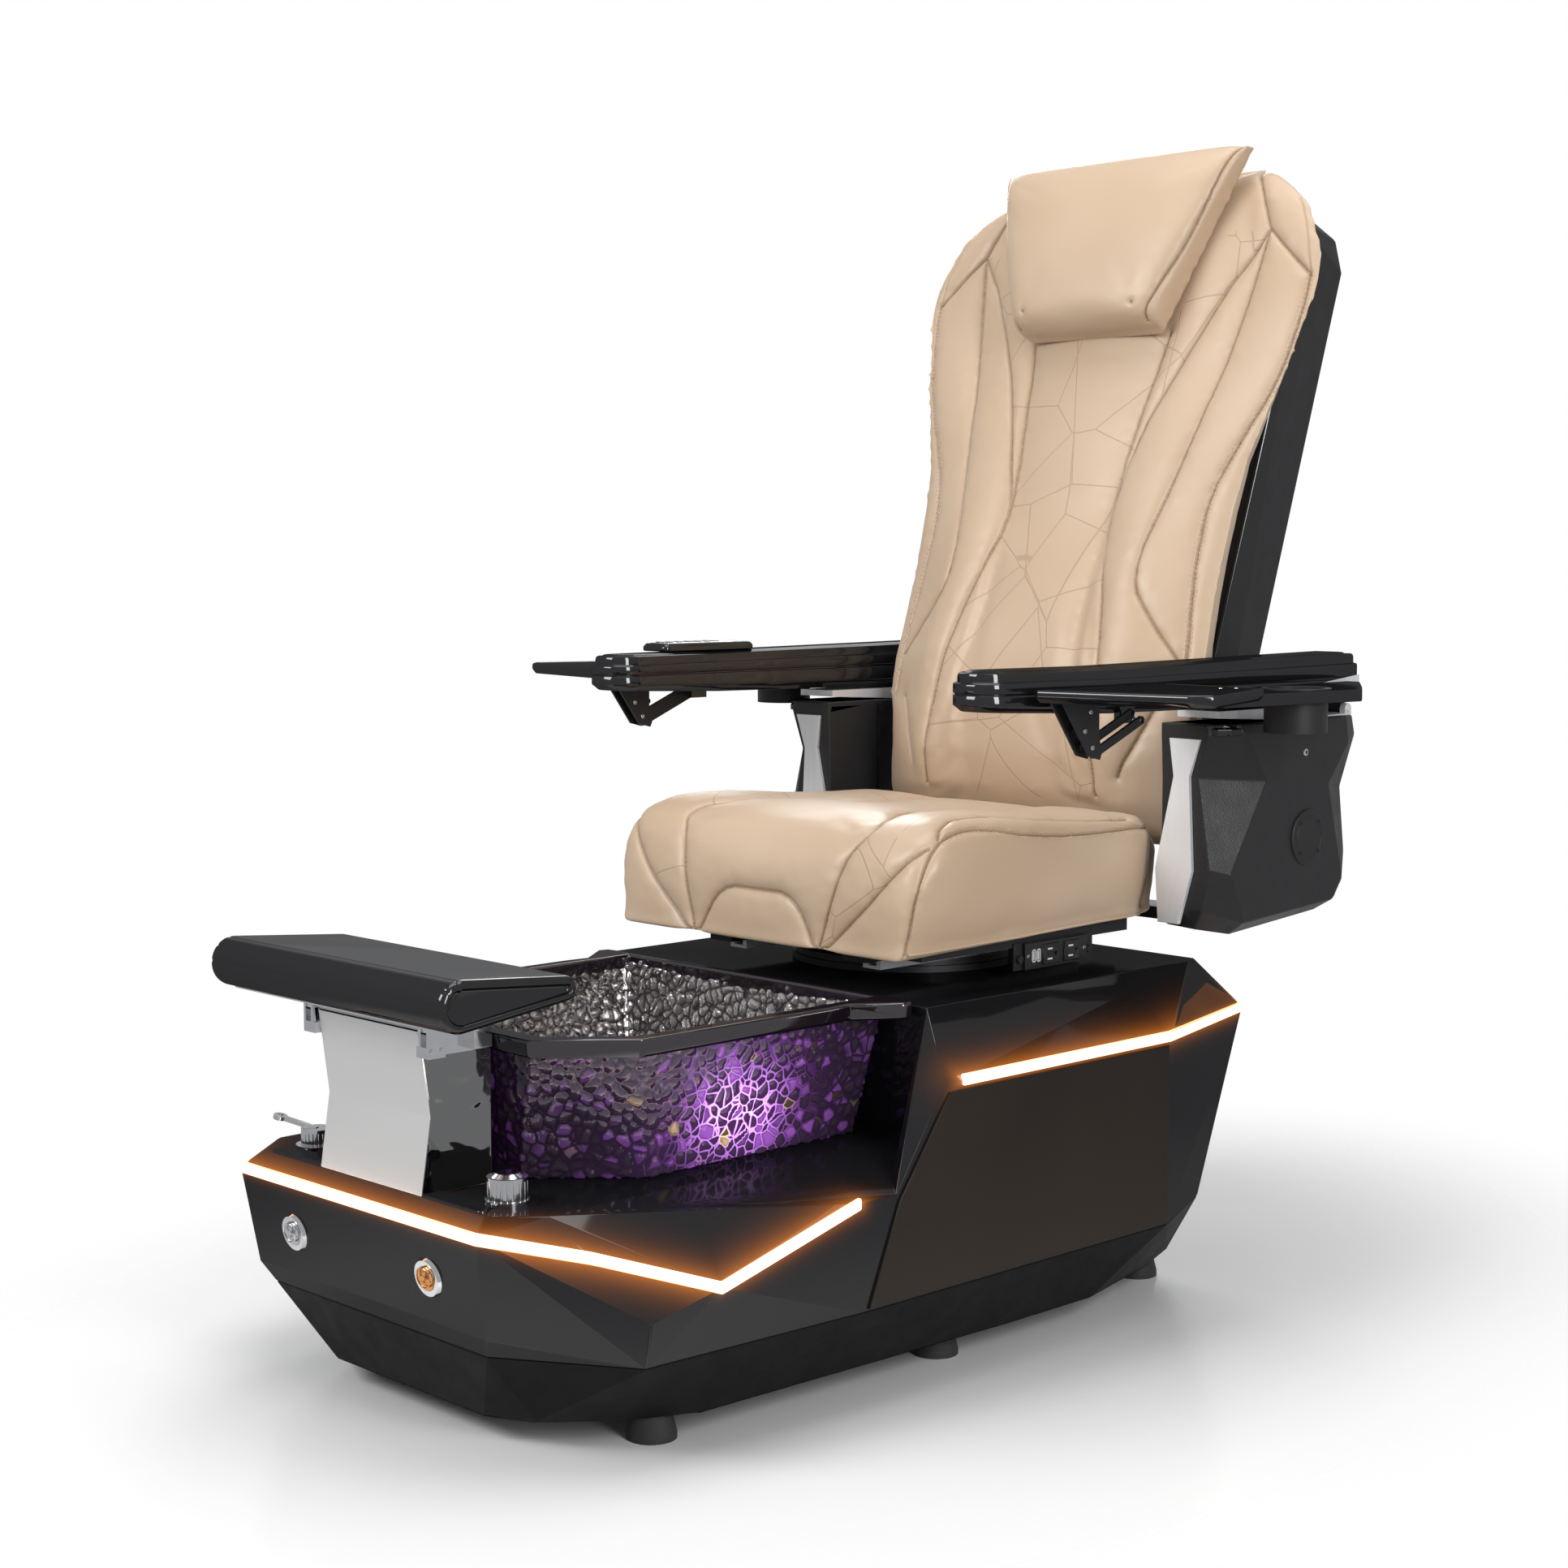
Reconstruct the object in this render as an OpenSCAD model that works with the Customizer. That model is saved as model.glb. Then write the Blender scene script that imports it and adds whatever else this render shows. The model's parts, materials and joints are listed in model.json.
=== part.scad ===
// Pedicure spa chair: a moulded base with a glass foot tub, a footrest on a bent
// steel pedestal, and a swivelling, sliding, reclining upholstered chair whose
// lift-up armrests carry trays and cup holders.
// Left and right are the sitter's. The sitter faces -Y, +X is the sitter's left,
// +Z is up, the floor is z = 0, and the middle plane is x = 0.

/* [Base] */
// Width over the side walls of the base
base_w = 724; // [680:4:880]
// Length of the base, front wall to the rear end of the light line
base_l = 1274; // [1240:2:1540]
// Height of the seat block's top above the floor
block_h = 428; // [420:1:440]
// Height of the deck that carries the tub
deck_h = 270; // [255:1:285]
// Height of the joint between the skirt and the upper shell
skirt_h = 118; // [100:1:130]
// Height of the levelling feet
foot_h = 30; // [20:1:45]
// Wall of the base mouldings
shell_t = 4; // [3:0.5:6]
// Height of the light strips
led_h = 13; // [8:1:18]

/* [Tub] */
// Width of the bowl at its top, over the glass
tub_w = 464; // [420:2:500]
// Height of the glass bowl
tub_h = 155; // [120:1:165]
// Glass thickness
tub_t = 9; // [6:1:12]
// Height of the dark rim
rim_h = 10; // [8:1:12]

/* [Footrest] */
// Width of the pad
pad_w = 436; // [400:2:520]
// Depth of the pad from front to rear
pad_l = 184; // [160:2:200]
// Thickness of the pad at its front roll
pad_h = 56; // [46:1:60]
// Width of the steel pedestal
pedestal_w = 190; // [160:2:200]

/* [Seat] */
// Width of the seat cushion at its lower edge
seat_w = 512; // [460:2:530]
// Depth of the seat cushion
seat_l = 480; // [440:2:480]
// Height of the seat cushion's lower edge above the floor
seat_z = 474; // [474:1:500]
// Thickness of the seat cushion at its crown
seat_h = 172; // [140:1:190]

/* [Back] */
// Length of the backrest along its own slope, from the recline axle
back_l = 962; // [880:2:1040]
// Lean of the backrest from upright, in degrees
back_lean = 16.5; // [10:0.5:22]
// Largest half width of the back cushion, across the wings
wing_w = 353; // [330:1:375]
// Depth of the rear case
case_d = 110; // [100:1:120]

/* [Arms] */
// Height of the armrest tops above the floor
arm_z = 820; // [800:1:860]
// Height of the armrest body
arm_h = 63; // [50:1:70]
// Width of an armrest
arm_w = 75; // [60:1:85]
// Reach of the tray leaf, from the middle plane
leaf_reach = 596; // [540:1:640]
// Thickness of the trays
tray_t = 15; // [12:1:20]
// Outside diameter of the cup holders
cup_d = 78; // [66:1:88]

/* [Hidden] */

// Clearances: faces of different pieces that pass, seats of soft parts, and bores
gap = 0.3;
soft_gap = 0.6;
run = 0.05;
// Overlap that carries a cut cleanly through a face
cut = 1;
$fn = 48;
// Facets of a circle that only rounds a hull
round_fn = 32;

black = [0.03, 0.03, 0.035];
satin_black = [0.07, 0.07, 0.075];
grey_brown = [0.16, 0.14, 0.13];
amber = [1.0, 0.85, 0.65];
purple_glass = [0.42, 0.25, 0.55, 0.6];
chrome = [0.82, 0.83, 0.85];
brushed = [0.72, 0.73, 0.74];
dark_steel = [0.25, 0.25, 0.27];
tan = [0.86, 0.72, 0.55];

// ---------------------------------------------------------------- shared shapes

// Convex solid round a list of points
module solid_of(points) hull() polyhedron(points, [[for (i = [0:len(points) - 1]) i]]);

// The same points on both sides of the middle plane
function both(points) = concat(points, [for (p = points) [-p[0], p[1], p[2]]]);

// Closed skin through rings of equal length, each end closed on its ring's centre
module lofted(rings) {
    n = len(rings[0]);
    m = len(rings);
    first = [for (k = [0:2]) sum_of(rings[0], k) / n];
    last = [for (k = [0:2]) sum_of(rings[m - 1], k) / n];
    points = concat([for (r = rings) for (p = r) p], [first, last]);
    sides = [for (j = [0:m - 2]) for (i = [0:n - 1]) for (t = [0:1])
        t == 0 ? [j * n + i, (j + 1) * n + (i + 1) % n, j * n + (i + 1) % n]
               : [j * n + i, (j + 1) * n + i, (j + 1) * n + (i + 1) % n]];
    low_end = [for (i = [0:n - 1]) [m * n, i, (i + 1) % n]];
    high_end = [for (i = [0:n - 1])
        [m * n + 1, (m - 1) * n + (i + 1) % n, (m - 1) * n + i]];
    polyhedron(points, concat(sides, low_end, high_end), convexity = 6);
}

function sum_of(points, k, i = 0) = i == len(points) ? 0
    : points[i][k] + sum_of(points, k, i + 1);

// A band of constant height that follows points lying on a wall; outs holds the
// wall's outward direction at each point
module band(path, outs, proud, deep, height) lofted([for (i = [0:len(path) - 1])
    [path[i] + outs[i] * proud - [0, 0, height / 2],
     path[i] + outs[i] * proud + [0, 0, height / 2],
     path[i] - outs[i] * deep + [0, 0, height / 2],
     path[i] - outs[i] * deep - [0, 0, height / 2]]]);

// Box with its low corner and its size given as two corners
module block(low, high) translate(low) cube(high - low);

// Cylinder along +X from x0 to x1
module x_rod(x0, x1, y, z, r) translate([x0, y, z]) rotate([0, 90, 0])
    cylinder(h = x1 - x0, r = r);

// Cylinder along +Y from y0 to y1
module y_rod(x, y0, y1, z, r) translate([x, y0, z]) rotate([-90, 0, 0])
    cylinder(h = y1 - y0, r = r);

// Flat plate across x0..x1 with an outline given in Y and Z
module yz_plate(x0, x1, outline) translate([x0, 0, 0]) rotate([90, 0, 90])
    linear_extrude(x1 - x0) polygon(outline);

// A piece drawn on the sitter's left, kept there or turned over to the right
module on_side(left) mirror([left ? 0 : 1, 0, 0]) children();
module both_sides() {
    children();
    mirror([1, 0, 0]) children();
}

// Round knob with grip ribs, standing on z = 0
module ribbed_knob(r, h, ribs) difference() {
    cylinder(h = h, r = r);
    for (i = [0:ribs - 1]) rotate(i * 360 / ribs)
        translate([r + rib_cut / 2, 0, -cut]) cylinder(h = h - 4 + cut, r = rib_cut);
}
rib_cut = 1.6;

// ---------------------------------------------------------------- base outline

side_x = base_w / 2;
// The footrest pad overhangs the front wall, the rear case overhangs the back of the
// base, and the whole is centred on y = 0
cushion_rear = -30;
case_front = cushion_rear + soft_gap;
case_rear = case_front + case_d;
pad_reach = 38;
hinge_run = 1157;
back_reach = max([for (p = case_points(0)) p[1] * cos(back_lean) + p[2] * sin(back_lean)]);
front_y = (pad_reach - hinge_run - back_reach) / 2;
rear_y = front_y + base_l;
// The tub stands between the front wall and the seat block
block_y = front_y + 603;
deck_x = side_x - 111;
deck_front = front_y + 24;
top_x = side_x - 72;
// Waist of the light line: low at the front corner, high along the block
light_front_z = 253;
light_tip_z = 189;
light_mid_z = 0.55 * light_front_z + 0.45 * light_tip_z + 6;
light_end_z = 242;
light_block_z = 356;
light_rear_z = 342;
corner_y = front_y + 126;
panel_y = front_y + 426;
bend_y = rear_y - 304;

function foot_ring(z, t) = [[0, front_y + 72 + t, z], [side_x - 225, front_y + 72 + t, z],
    [side_x - 167 - t, front_y + 97 + t, z], [side_x - 110 - t, front_y + 164 + t, z],
    [side_x - 71 - t, front_y + 243, z], [side_x - 65 - t, front_y + 579, z],
    [side_x - 54 - t, front_y + 727, z], [side_x - 54 - t, rear_y - 390, z],
    [side_x - 96 - t, rear_y - 220, z], [side_x - 123 - t, rear_y - 147 - t, z],
    [0, rear_y - 147 - t, z]];
function skirt_ring(z, t) = [[0, front_y + 30 + t, z], [side_x - 164, front_y + 30 + t, z],
    [side_x - 17 - t, corner_y - 3 + t / 2, z], [side_x - t, panel_y, z],
    [side_x - t, bend_y, z], [side_x - 62 - t, rear_y - 161 - t / 2, z],
    [side_x - 110 - t, rear_y - 92 - t, z], [0, rear_y - 92 - t, z]];
// Front part: everything under the deck
function front_part(t, low) = both(concat(
    [for (p = skirt_ring(low, t)) if (p[1] < block_y) p],
    [[side_x - t, block_y, low], [0, front_y + 19 + t, skirt_h + 22],
     [side_x - 149, front_y + 19 + t, skirt_h + 22],
     [side_x - 12 - t, corner_y + t / 2, skirt_h + 47],
     [0, front_y + t, light_front_z], [side_x - 141 - t / 2, front_y + t, light_front_z],
     [side_x - 69 - t, front_y + 92 + t / 2, light_mid_z],
     [side_x - t, front_y + 213 + t, light_tip_z],
     [side_x - t, front_y + 419, light_end_z - t], [side_x - t, block_y, light_end_z - t],
     [0, deck_front + t, deck_h - t], [deck_x - 47, deck_front + t, deck_h - t],
     [deck_x - t, deck_front + 48 + t, deck_h - t], [deck_x - t, block_y, deck_h - t]]));
// Seat block behind the tub
function block_part(t, low) = both(concat(
    [for (p = skirt_ring(low, t)) if (p[1] > block_y) p],
    [[0, block_y + t, low], [side_x - t, block_y + t, low],
     [side_x - t, block_y + t, light_block_z],
     [side_x - t, bend_y, light_block_z], [side_x - 112 - t, rear_y - t, light_rear_z],
     [0, rear_y - t, light_rear_z], [0, block_y + t, block_h - t],
     [top_x - t, block_y + t, block_h - t], [top_x - t, rear_y - 175, block_h - t],
     [top_x - 40 - t, rear_y - 110 - t, block_h - 8 - t],
     [0, rear_y - 107 - t, block_h - 8 - t]]));
// Cheek that runs the side wall forward past the tub's rear corner
cheek = [[side_x, panel_y, skirt_h], [side_x, front_y + 474, 235],
    [side_x, front_y + 557, light_block_z], [top_x, block_y, block_h],
    [deck_x + 4, block_y, deck_h], [deck_x + 4, block_y, skirt_h],
    [side_x, block_y + 24, skirt_h], [side_x, block_y + 24, light_block_z],
    [top_x, block_y + 24, block_h]];

front_light = [[side_x, front_y + 419, light_end_z], [side_x, front_y + 213, light_tip_z],
    [side_x - 69, front_y + 92, light_mid_z], [side_x - 141, front_y, light_front_z]];
front_outs = [[1, 0, 0], [0.9, -0.43, 0], [0.8, -0.6, 0], [0.45, -0.9, 0]];
rear_light = [[-side_x, front_y + 587, light_block_z], [-side_x, bend_y, light_block_z],
    [112 - side_x, rear_y, light_rear_z]];
rear_outs = [[-1, 0, 0], [-0.98, 0.2, 0], [-0.5, 0.86, 0]];
led_proud = 3;
led_deep = 3;
function around(half) = concat(half, [for (i = [len(half) - 1:-1:0])
    [-half[i][0], half[i][1], half[i][2]]]);
module front_band(extra) band(around(front_light), around(front_outs),
    led_proud + extra, led_deep, led_h + 2 * gap * extra);
module rear_band(extra) band(around(rear_light), around(rear_outs),
    led_proud + extra, led_deep, led_h + 2 * gap * extra);

// ---------------------------------------------------------------- places

drain_y = front_y + 347;
drain_r = 21;
jet_z = deck_h + 62;
jet_r = 28;
button_r = 22;
button_x = 126;
button_z = 192;
face_lean = atan(19 / (light_front_z - skirt_h - 22));
button_travel = 2.5;
valve_x = 178;
valve_y = front_y + 75;
valve_bore = 9;
foot_places = [[side_x - 115, front_y + 215], [side_x - 103, front_y + 654],
    [side_x - 147, rear_y - 180]];
foot_r = 28;
stem_r = 8;

pivot_y = block_y + 274;
turntable_r = 150;
spindle_r = 25;
plate_t = 8;
top_plate_z = block_h + plate_t + gap;
rail_z = top_plate_z + plate_t;
rail_h = 12;
rail_x = 120;
rail_w = 30;
groove_w = 16;
groove_d = 8;
carriage_z = rail_z + rail_h + gap;
seat_front = pivot_y - 281;
seat_rear = seat_front + seat_l;

hinge_y = front_y + hinge_run;
hinge_z = 540;
axle_r = 10;
axle_x = 218;

arm_in = 306;
arm_out = arm_in + arm_w;
arm_low = arm_z - arm_h;
house_in = 297;
house_out = 388;
house_low = 463;
house_top = arm_low - 16;
post_x = 291;
head_y = pivot_y - 210;
head_x = 321;
head_r = 41;
arm_rear = hinge_y + 184;
lift_y = arm_rear - 18;
lift_z = arm_low - 8;
pin_r = 4;
leaf_top = arm_z - 22;
leaf_low = leaf_top - tray_t;
leaf_in = arm_out + 4;
tray_top = leaf_top - 12;
cup_x = arm_out + 74;
cup_y = pivot_y + 215;
cup_wall = 2.5;
leaf_rear = pivot_y + 32;

// Stay linkage, in Y and Z: ear pivots, arm pivots
stay_ear = [pivot_y - 121, arm_low - 28];
stay_arm = stay_ear + [88, 36];
stay_step = [11, -9];
stay_pin = 3;
stay_x = leaf_in + 2;

// ---------------------------------------------------------------- base

module base_shell() color(black) difference() {
    union() {
        solid_of(front_part(0, skirt_h));
        solid_of(block_part(0, skirt_h));
        both_sides() solid_of(cheek);
    }
    solid_of(front_part(shell_t, skirt_h - cut));
    solid_of(block_part(shell_t, skirt_h - cut));
    front_band(cut);
    rear_band(cut);
    translate([0, drain_y, deck_h - 2 * shell_t]) cylinder(h = 4 * shell_t, r = drain_r + 3);
    both_sides() translate([valve_x, valve_y, deck_h - 3 * shell_t])
        cylinder(h = 4 * shell_t, r = valve_bore);
    y_rod(0, block_y - 12, block_y + 12, jet_z, jet_r + 4);
    for (x = [-button_x, button_x]) on_front_wall(x)
        translate([0, 0, -20]) cylinder(h = 40, r = button_r - 5);
}

// Frame on the sloping front wall, its Z pointing out of the wall
module on_front_wall(x) translate([x, wall_y(button_z), button_z])
    rotate([90 + face_lean, 0, 0]) children();
function wall_y(z) = front_y + (light_front_z - z) * 19 / (light_front_z - skirt_h - 22);

module base_skirt() color(satin_black) difference() {
    solid_of(both(concat(foot_ring(foot_h, 0), skirt_ring(skirt_h, 0))));
    solid_of(both(concat(foot_ring(foot_h - cut, shell_t), skirt_ring(skirt_h + cut, shell_t))));
}

// Floor of the base, set inside the skirt, with a boss over each foot
module floor_pan() color(dark_steel) difference() {
    union() {
        translate([0, 0, foot_h]) linear_extrude(shell_t) polygon(pan_outline());
        for (s = [-1, 1], p = foot_places) translate([s * p[0], p[1], foot_h])
            cylinder(h = pan_boss, r = stem_r + 6);
    }
    for (s = [-1, 1], p = foot_places) translate([s * p[0], p[1], foot_h - cut])
        cylinder(h = pan_boss + 2 * cut, r = stem_r + run);
}
pan_boss = 20;
function pan_outline() = let (half = foot_ring(foot_h, shell_t + gap))
    concat([for (p = half) [p[0], p[1]]],
        [for (i = [len(half) - 2:-1:1]) [-half[i][0], half[i][1]]]);

// Flat facing on each side wall under the rear light line
module side_panels() color(grey_brown) both_sides()
    yz_plate(side_x, side_x + panel_t, [[panel_y + 6, skirt_h + 3], [front_y + 480, 233],
        [front_y + 563, light_block_z - led_h / 2 - 4],
        [bend_y - 4, light_block_z - led_h / 2 - 4], [bend_y - 4, skirt_h + 3]]);
panel_t = 3;

module front_light_strip() color(amber) front_band(0);
module rear_light_strip() color(amber) rear_band(0);

module levelling_feet() color(black) for (s = [-1, 1], p = foot_places)
    translate([s * p[0], p[1], 0]) {
        cylinder(h = 6, r = foot_r);
        translate([0, 0, 6]) cylinder(h = foot_h - 6, r1 = foot_r, r2 = foot_r - 6);
        translate([0, 0, foot_h]) cylinder(h = pan_boss - 2, r = stem_r);
    }

// Sealed box with the pump and light controls, on the floor pan
module control_box() color(satin_black)
    translate([-100, pivot_y - 60, foot_h + shell_t]) cube([200, 150, 110]);

// ---------------------------------------------------------------- tub

tub_low = deck_h;
tub_top = deck_h + tub_h;
tub_front = block_y - 472;
function tub_low_ring(z, t) = [[0, tub_front + 18 + t, z],
    [tub_w / 2 - 126, tub_front + 18 + t, z], [tub_w / 2 - 32 - t, tub_front + 118 + t / 2, z],
    [tub_w / 2 - 32 - t, block_y - 30 - t, z], [0, block_y - 26 - t, z]];
function tub_top_ring(z, t) = [[0, tub_front + t, z],
    [tub_w / 2 - 80 - t / 2, tub_front + t, z], [tub_w / 2 - 3 - t, tub_front + 88 + t / 2, z],
    [tub_w / 2 - t, block_y - 110, z], [tub_w / 2 - t, block_y - 9 - t, z],
    [0, block_y - 5 - t, z]];

module tub_bowl() color(purple_glass) difference() {
    solid_of(both(concat(tub_low_ring(tub_low, 0), tub_top_ring(tub_top, 0))));
    solid_of(both(concat(tub_low_ring(tub_low + tub_t + 2, tub_t),
        tub_top_ring(tub_top + 0.2, tub_t))));
    translate([0, drain_y, tub_low - cut]) cylinder(h = 3 * tub_t, r = drain_r + run);
    y_rod(0, block_y - 60, block_y, jet_z, jet_r + run);
}

// Dark faceted rim with a wing at each rear corner
module tub_rim() color(black) difference() {
    union() {
        solid_of(both(concat(rim_ring(tub_top, 7), rim_ring(tub_top + rim_h, 10))));
        both_sides() solid_of([for (z = [tub_top, tub_top + rim_h], p = [[-20, -108], [46, -22],
            [42, -6], [-20, -6]]) [tub_w / 2 + p[0], block_y + p[1], z]]);
    }
    solid_of(both(concat(rim_ring(tub_top - cut, -tub_t), rim_ring(tub_top + rim_h + cut, -tub_t - 5))));
}
function rim_ring(z, t) = [[0, tub_front - t, z], [tub_w / 2 - 80 + t / 2, tub_front - t, z],
    [tub_w / 2 - 3 + t, tub_front + 88 - t / 2, z], [tub_w / 2 + t, block_y - 110, z],
    [tub_w / 2 + min(t, 0), block_y - 5.5 + min(t, 0), z], [0, block_y - 4.5 + min(t, 0), z]];

module tub_drain() color(chrome) translate([0, drain_y, 0]) difference() {
    union() {
        translate([0, 0, tub_low + tub_t + 2]) cylinder(h = 3, r = drain_r + 9);
        translate([0, 0, deck_h - 70]) cylinder(h = tub_t + 72, r = drain_r);
    }
    translate([0, 0, deck_h - 70 - cut]) cylinder(h = tub_t + 70, r = drain_r - 3);
    for (i = [0:7]) rotate(i * 45) translate([12, 0, tub_low])
        cylinder(h = 30, r = 3);
}

jet_inner = block_y - 34;
module jet_cover() color(satin_black) difference() {
    union() {
        y_rod(0, jet_inner - 16, jet_inner - 2, jet_z, jet_r + 16);
        y_rod(0, jet_inner - 8, block_y + 10, jet_z, jet_r);
    }
    y_rod(0, jet_inner - 12, jet_inner + 4, jet_z, jet_r - 6);
    y_rod(0, jet_inner, block_y + 12, jet_z, shaft_r + run);
    for (a = [0:60:300]) translate([15 * cos(a), 0, 15 * sin(a)])
        y_rod(0, jet_inner - 20, jet_inner - 8, jet_z, 4);
}
shaft_r = 4;

module jet_impeller() color(chrome) {
    y_rod(0, jet_inner - 9, jet_inner + 1, jet_z, 8);
    for (a = [0:60:300]) translate([0, 0, jet_z]) rotate([0, a, 0])
        block([6, jet_inner - 8, -1], [18, jet_inner, 1]);
    y_rod(0, jet_inner, block_y + 30, jet_z, shaft_r);
}

module jet_motor() color(dark_steel) difference() {
    union() {
        y_rod(0, block_y + 10, block_y + 110, jet_z, jet_r + 12);
        block([-30, block_y + 20, foot_h + shell_t], [30, block_y + 100, jet_z - jet_r]);
    }
    y_rod(0, block_y, block_y + 40, jet_z, shaft_r + run);
}

// ---------------------------------------------------------------- controls on the base

module button_bezels() color(chrome) for (x = [-button_x, button_x]) on_front_wall(x)
    difference() {
        union() {
            translate([0, 0, -18]) cylinder(h = 20, r = button_r - 5 - gap);
            translate([0, 0, 0.2]) cylinder(h = 4, r1 = button_r, r2 = button_r - 2);
        }
        translate([0, 0, -12]) cylinder(h = 20, r = button_r - 8);
        translate([0, 0, -18 - cut]) cylinder(h = 10, r = stem_r / 2 + run);
    }
module push_button(x) on_front_wall(x) {
    translate([0, 0, -6]) cylinder(h = 11, r = button_r - 8 - gap);
    translate([0, 0, -24]) cylinder(h = 19, r = stem_r / 2);
}
module left_button() color(chrome) push_button(button_x);
module right_button() color(chrome) push_button(-button_x);

module valve_bodies() color(chrome) both_sides() translate([valve_x, valve_y, 0]) {
    translate([0, 0, deck_h]) cylinder(h = 5, r = 24);
    translate([0, 0, deck_h - 40]) cylinder(h = 45, r = valve_bore - gap);
    translate([0, 0, deck_h]) cylinder(h = 16, r = 6);
}
valve_gap = deck_h + 5 + gap;
module knob_on_valve(x, r, h, ribs) translate([x, valve_y, valve_gap]) difference() {
    ribbed_knob(r, h, ribs);
    translate([0, 0, -cut]) cylinder(h = 12 + cut, r = 6 + run);
}
module diverter_knob() color(chrome) {
    knob_on_valve(valve_x, 22, 24, 20);
    translate([valve_x, valve_y, valve_gap + 24]) cylinder(h = 4, r1 = 18, r2 = 13);
}
// Lever on the mixing valve, a bar that ends in a ring
module mixer_lever() color(chrome) {
    knob_on_valve(-valve_x, 18, 18, 24);
    translate([-valve_x, valve_y, valve_gap + 14]) rotate([0, -12, 205]) {
        translate([0, -3, 0]) cube([44, 6, 5]);
        translate([50, 0, 0]) difference() {
            cylinder(h = 5, r = 8);
            translate([0, 0, -cut]) cylinder(h = 5 + 2 * cut, r = 4);
        }
    }
}

// ---------------------------------------------------------------- footrest

pedestal_y = front_y + 24;
pedestal_top = 450;
pedestal_rear = tub_front - 12;
fold_z = deck_h + 84;
sheet = 3;
foot_pin_y = pedestal_y + 6;
foot_pin_z = pedestal_top + 4;
foot_ear_x = pedestal_w / 2 + 14;
pad_z = 494;
pad_front = front_y - pad_reach;
mid_r = pad_h / 2 - 8.5;
tail_r = 14;
// Rubber-faced stops under the rear of the pad
bump_r = 12;
bump_y = pad_front + pad_l - 50;
bump_z = pad_z - mid_r - gap - bump_r;

// Bent front sheet between two side sheets, under a top plate
module footrest_pedestal() color(brushed) {
    yz_plate(-pedestal_w / 2 + sheet, pedestal_w / 2 - sheet,
        [[pedestal_y, deck_h], [pedestal_y + 13, fold_z], [pedestal_y, pedestal_top - sheet],
         [pedestal_y + sheet, pedestal_top - sheet], [pedestal_y + 13 + sheet, fold_z],
         [pedestal_y + sheet, deck_h]]);
    both_sides() yz_plate(pedestal_w / 2 - sheet, pedestal_w / 2,
        [[pedestal_y, deck_h], [pedestal_y + 13, fold_z], [pedestal_y, pedestal_top],
         [pedestal_rear, pedestal_top], [pedestal_rear, deck_h]]);
    block([-pedestal_w / 2 + sheet, pedestal_y, pedestal_top - sheet],
        [pedestal_w / 2 - sheet, pedestal_rear, pedestal_top]);
}

// Riveted ears with the hinge pins, and the blocks that the pad comes down on
module footrest_brackets() color(chrome) both_sides() {
    for (x = [0, 14]) yz_ear(foot_ear_x - 10 + x, foot_ear_x - 6 + x);
    block([pedestal_w / 2, foot_pin_y - 10, pedestal_top - 28],
        [foot_ear_x + 8, foot_pin_y + 12, pedestal_top - 16]);
    x_rod(foot_ear_x - 12, foot_ear_x + 10, foot_pin_y, foot_pin_z, pin_r);
    for (y = [-5, 8]) x_rod(foot_ear_x + 8, foot_ear_x + 10, foot_pin_y + y,
        pedestal_top - 20, 3);
    block([pedestal_w / 2, bump_y - 12, pedestal_top - 26],
        [pedestal_w / 2 + 16, bump_y + 12, bump_z]);
    x_rod(pedestal_w / 2, pedestal_w / 2 + 16, bump_y, bump_z, bump_r);
}
module yz_ear(x0, x1) {
    x_rod(x0, x1, foot_pin_y, foot_pin_z, 10);
    block([x0, foot_pin_y - 10, pedestal_top - 28], [x1, foot_pin_y + 10, foot_pin_z]);
}

module footrest_pad() color(black) hull() {
    x_rod(-pad_w / 2, pad_w / 2, pad_front + pad_h / 2, pad_z, pad_h / 2, $fn = round_fn);
    x_rod(-pad_w / 2 + 14, pad_w / 2 - 14, bump_y, pad_z, mid_r, $fn = round_fn);
    x_rod(-pad_w / 2 + 40, pad_w / 2 - 40, pad_front + pad_l - tail_r, pad_z + 2, tail_r,
        $fn = round_fn);
}
pad_under = pad_z - pad_h / 2;
module footrest_hinge() color(chrome) both_sides() difference() {
    union() {
        x_rod(foot_ear_x - 5.5, foot_ear_x + 3.5, foot_pin_y, foot_pin_z, 9);
        block([foot_ear_x - 5.5, foot_pin_y - 9, foot_pin_z],
            [foot_ear_x + 3.5, foot_pin_y + 9, pad_under + pad_rise - 0.2]);
    }
    x_rod(foot_ear_x - 6, foot_ear_x + 4, foot_pin_y, foot_pin_z, pin_r + run);
}
// Height of the pad's sloping underside above its lowest line, over the hinge
pad_rise = 2.3;

// ---------------------------------------------------------------- seat mechanism

module turntable_base() color(dark_steel) translate([0, pivot_y, block_h]) {
    cylinder(h = plate_t, r = turntable_r);
    cylinder(h = 2 * plate_t + gap, r = spindle_r);
}
module turntable_top() color(dark_steel) translate([0, pivot_y, top_plate_z]) difference() {
    cylinder(h = plate_t, r = turntable_r - 4);
    translate([0, 0, -cut]) cylinder(h = plate_t + 2 * cut, r = spindle_r + run);
}
outlet_x = seat_w / 2 - 24;
outlet_y = pivot_y - 56;
outlet_low = block_h + 11;
rail_front = pivot_y - 190;
rail_rear = pivot_y + 190;
module slide_rails() color(brushed) both_sides() difference() {
    block([rail_x - rail_w / 2, rail_front, rail_z], [rail_x + rail_w / 2, rail_rear, rail_z + rail_h]);
    block([rail_x - groove_w / 2, rail_front - cut, rail_z + rail_h - groove_d],
        [rail_x + groove_w / 2, rail_rear + cut, rail_z + rail_h + cut]);
}
tube_r = 12;
rod_r = 5;
tube_z = rail_z + tube_r + 1;
tube_front = pivot_y + 34;
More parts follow.
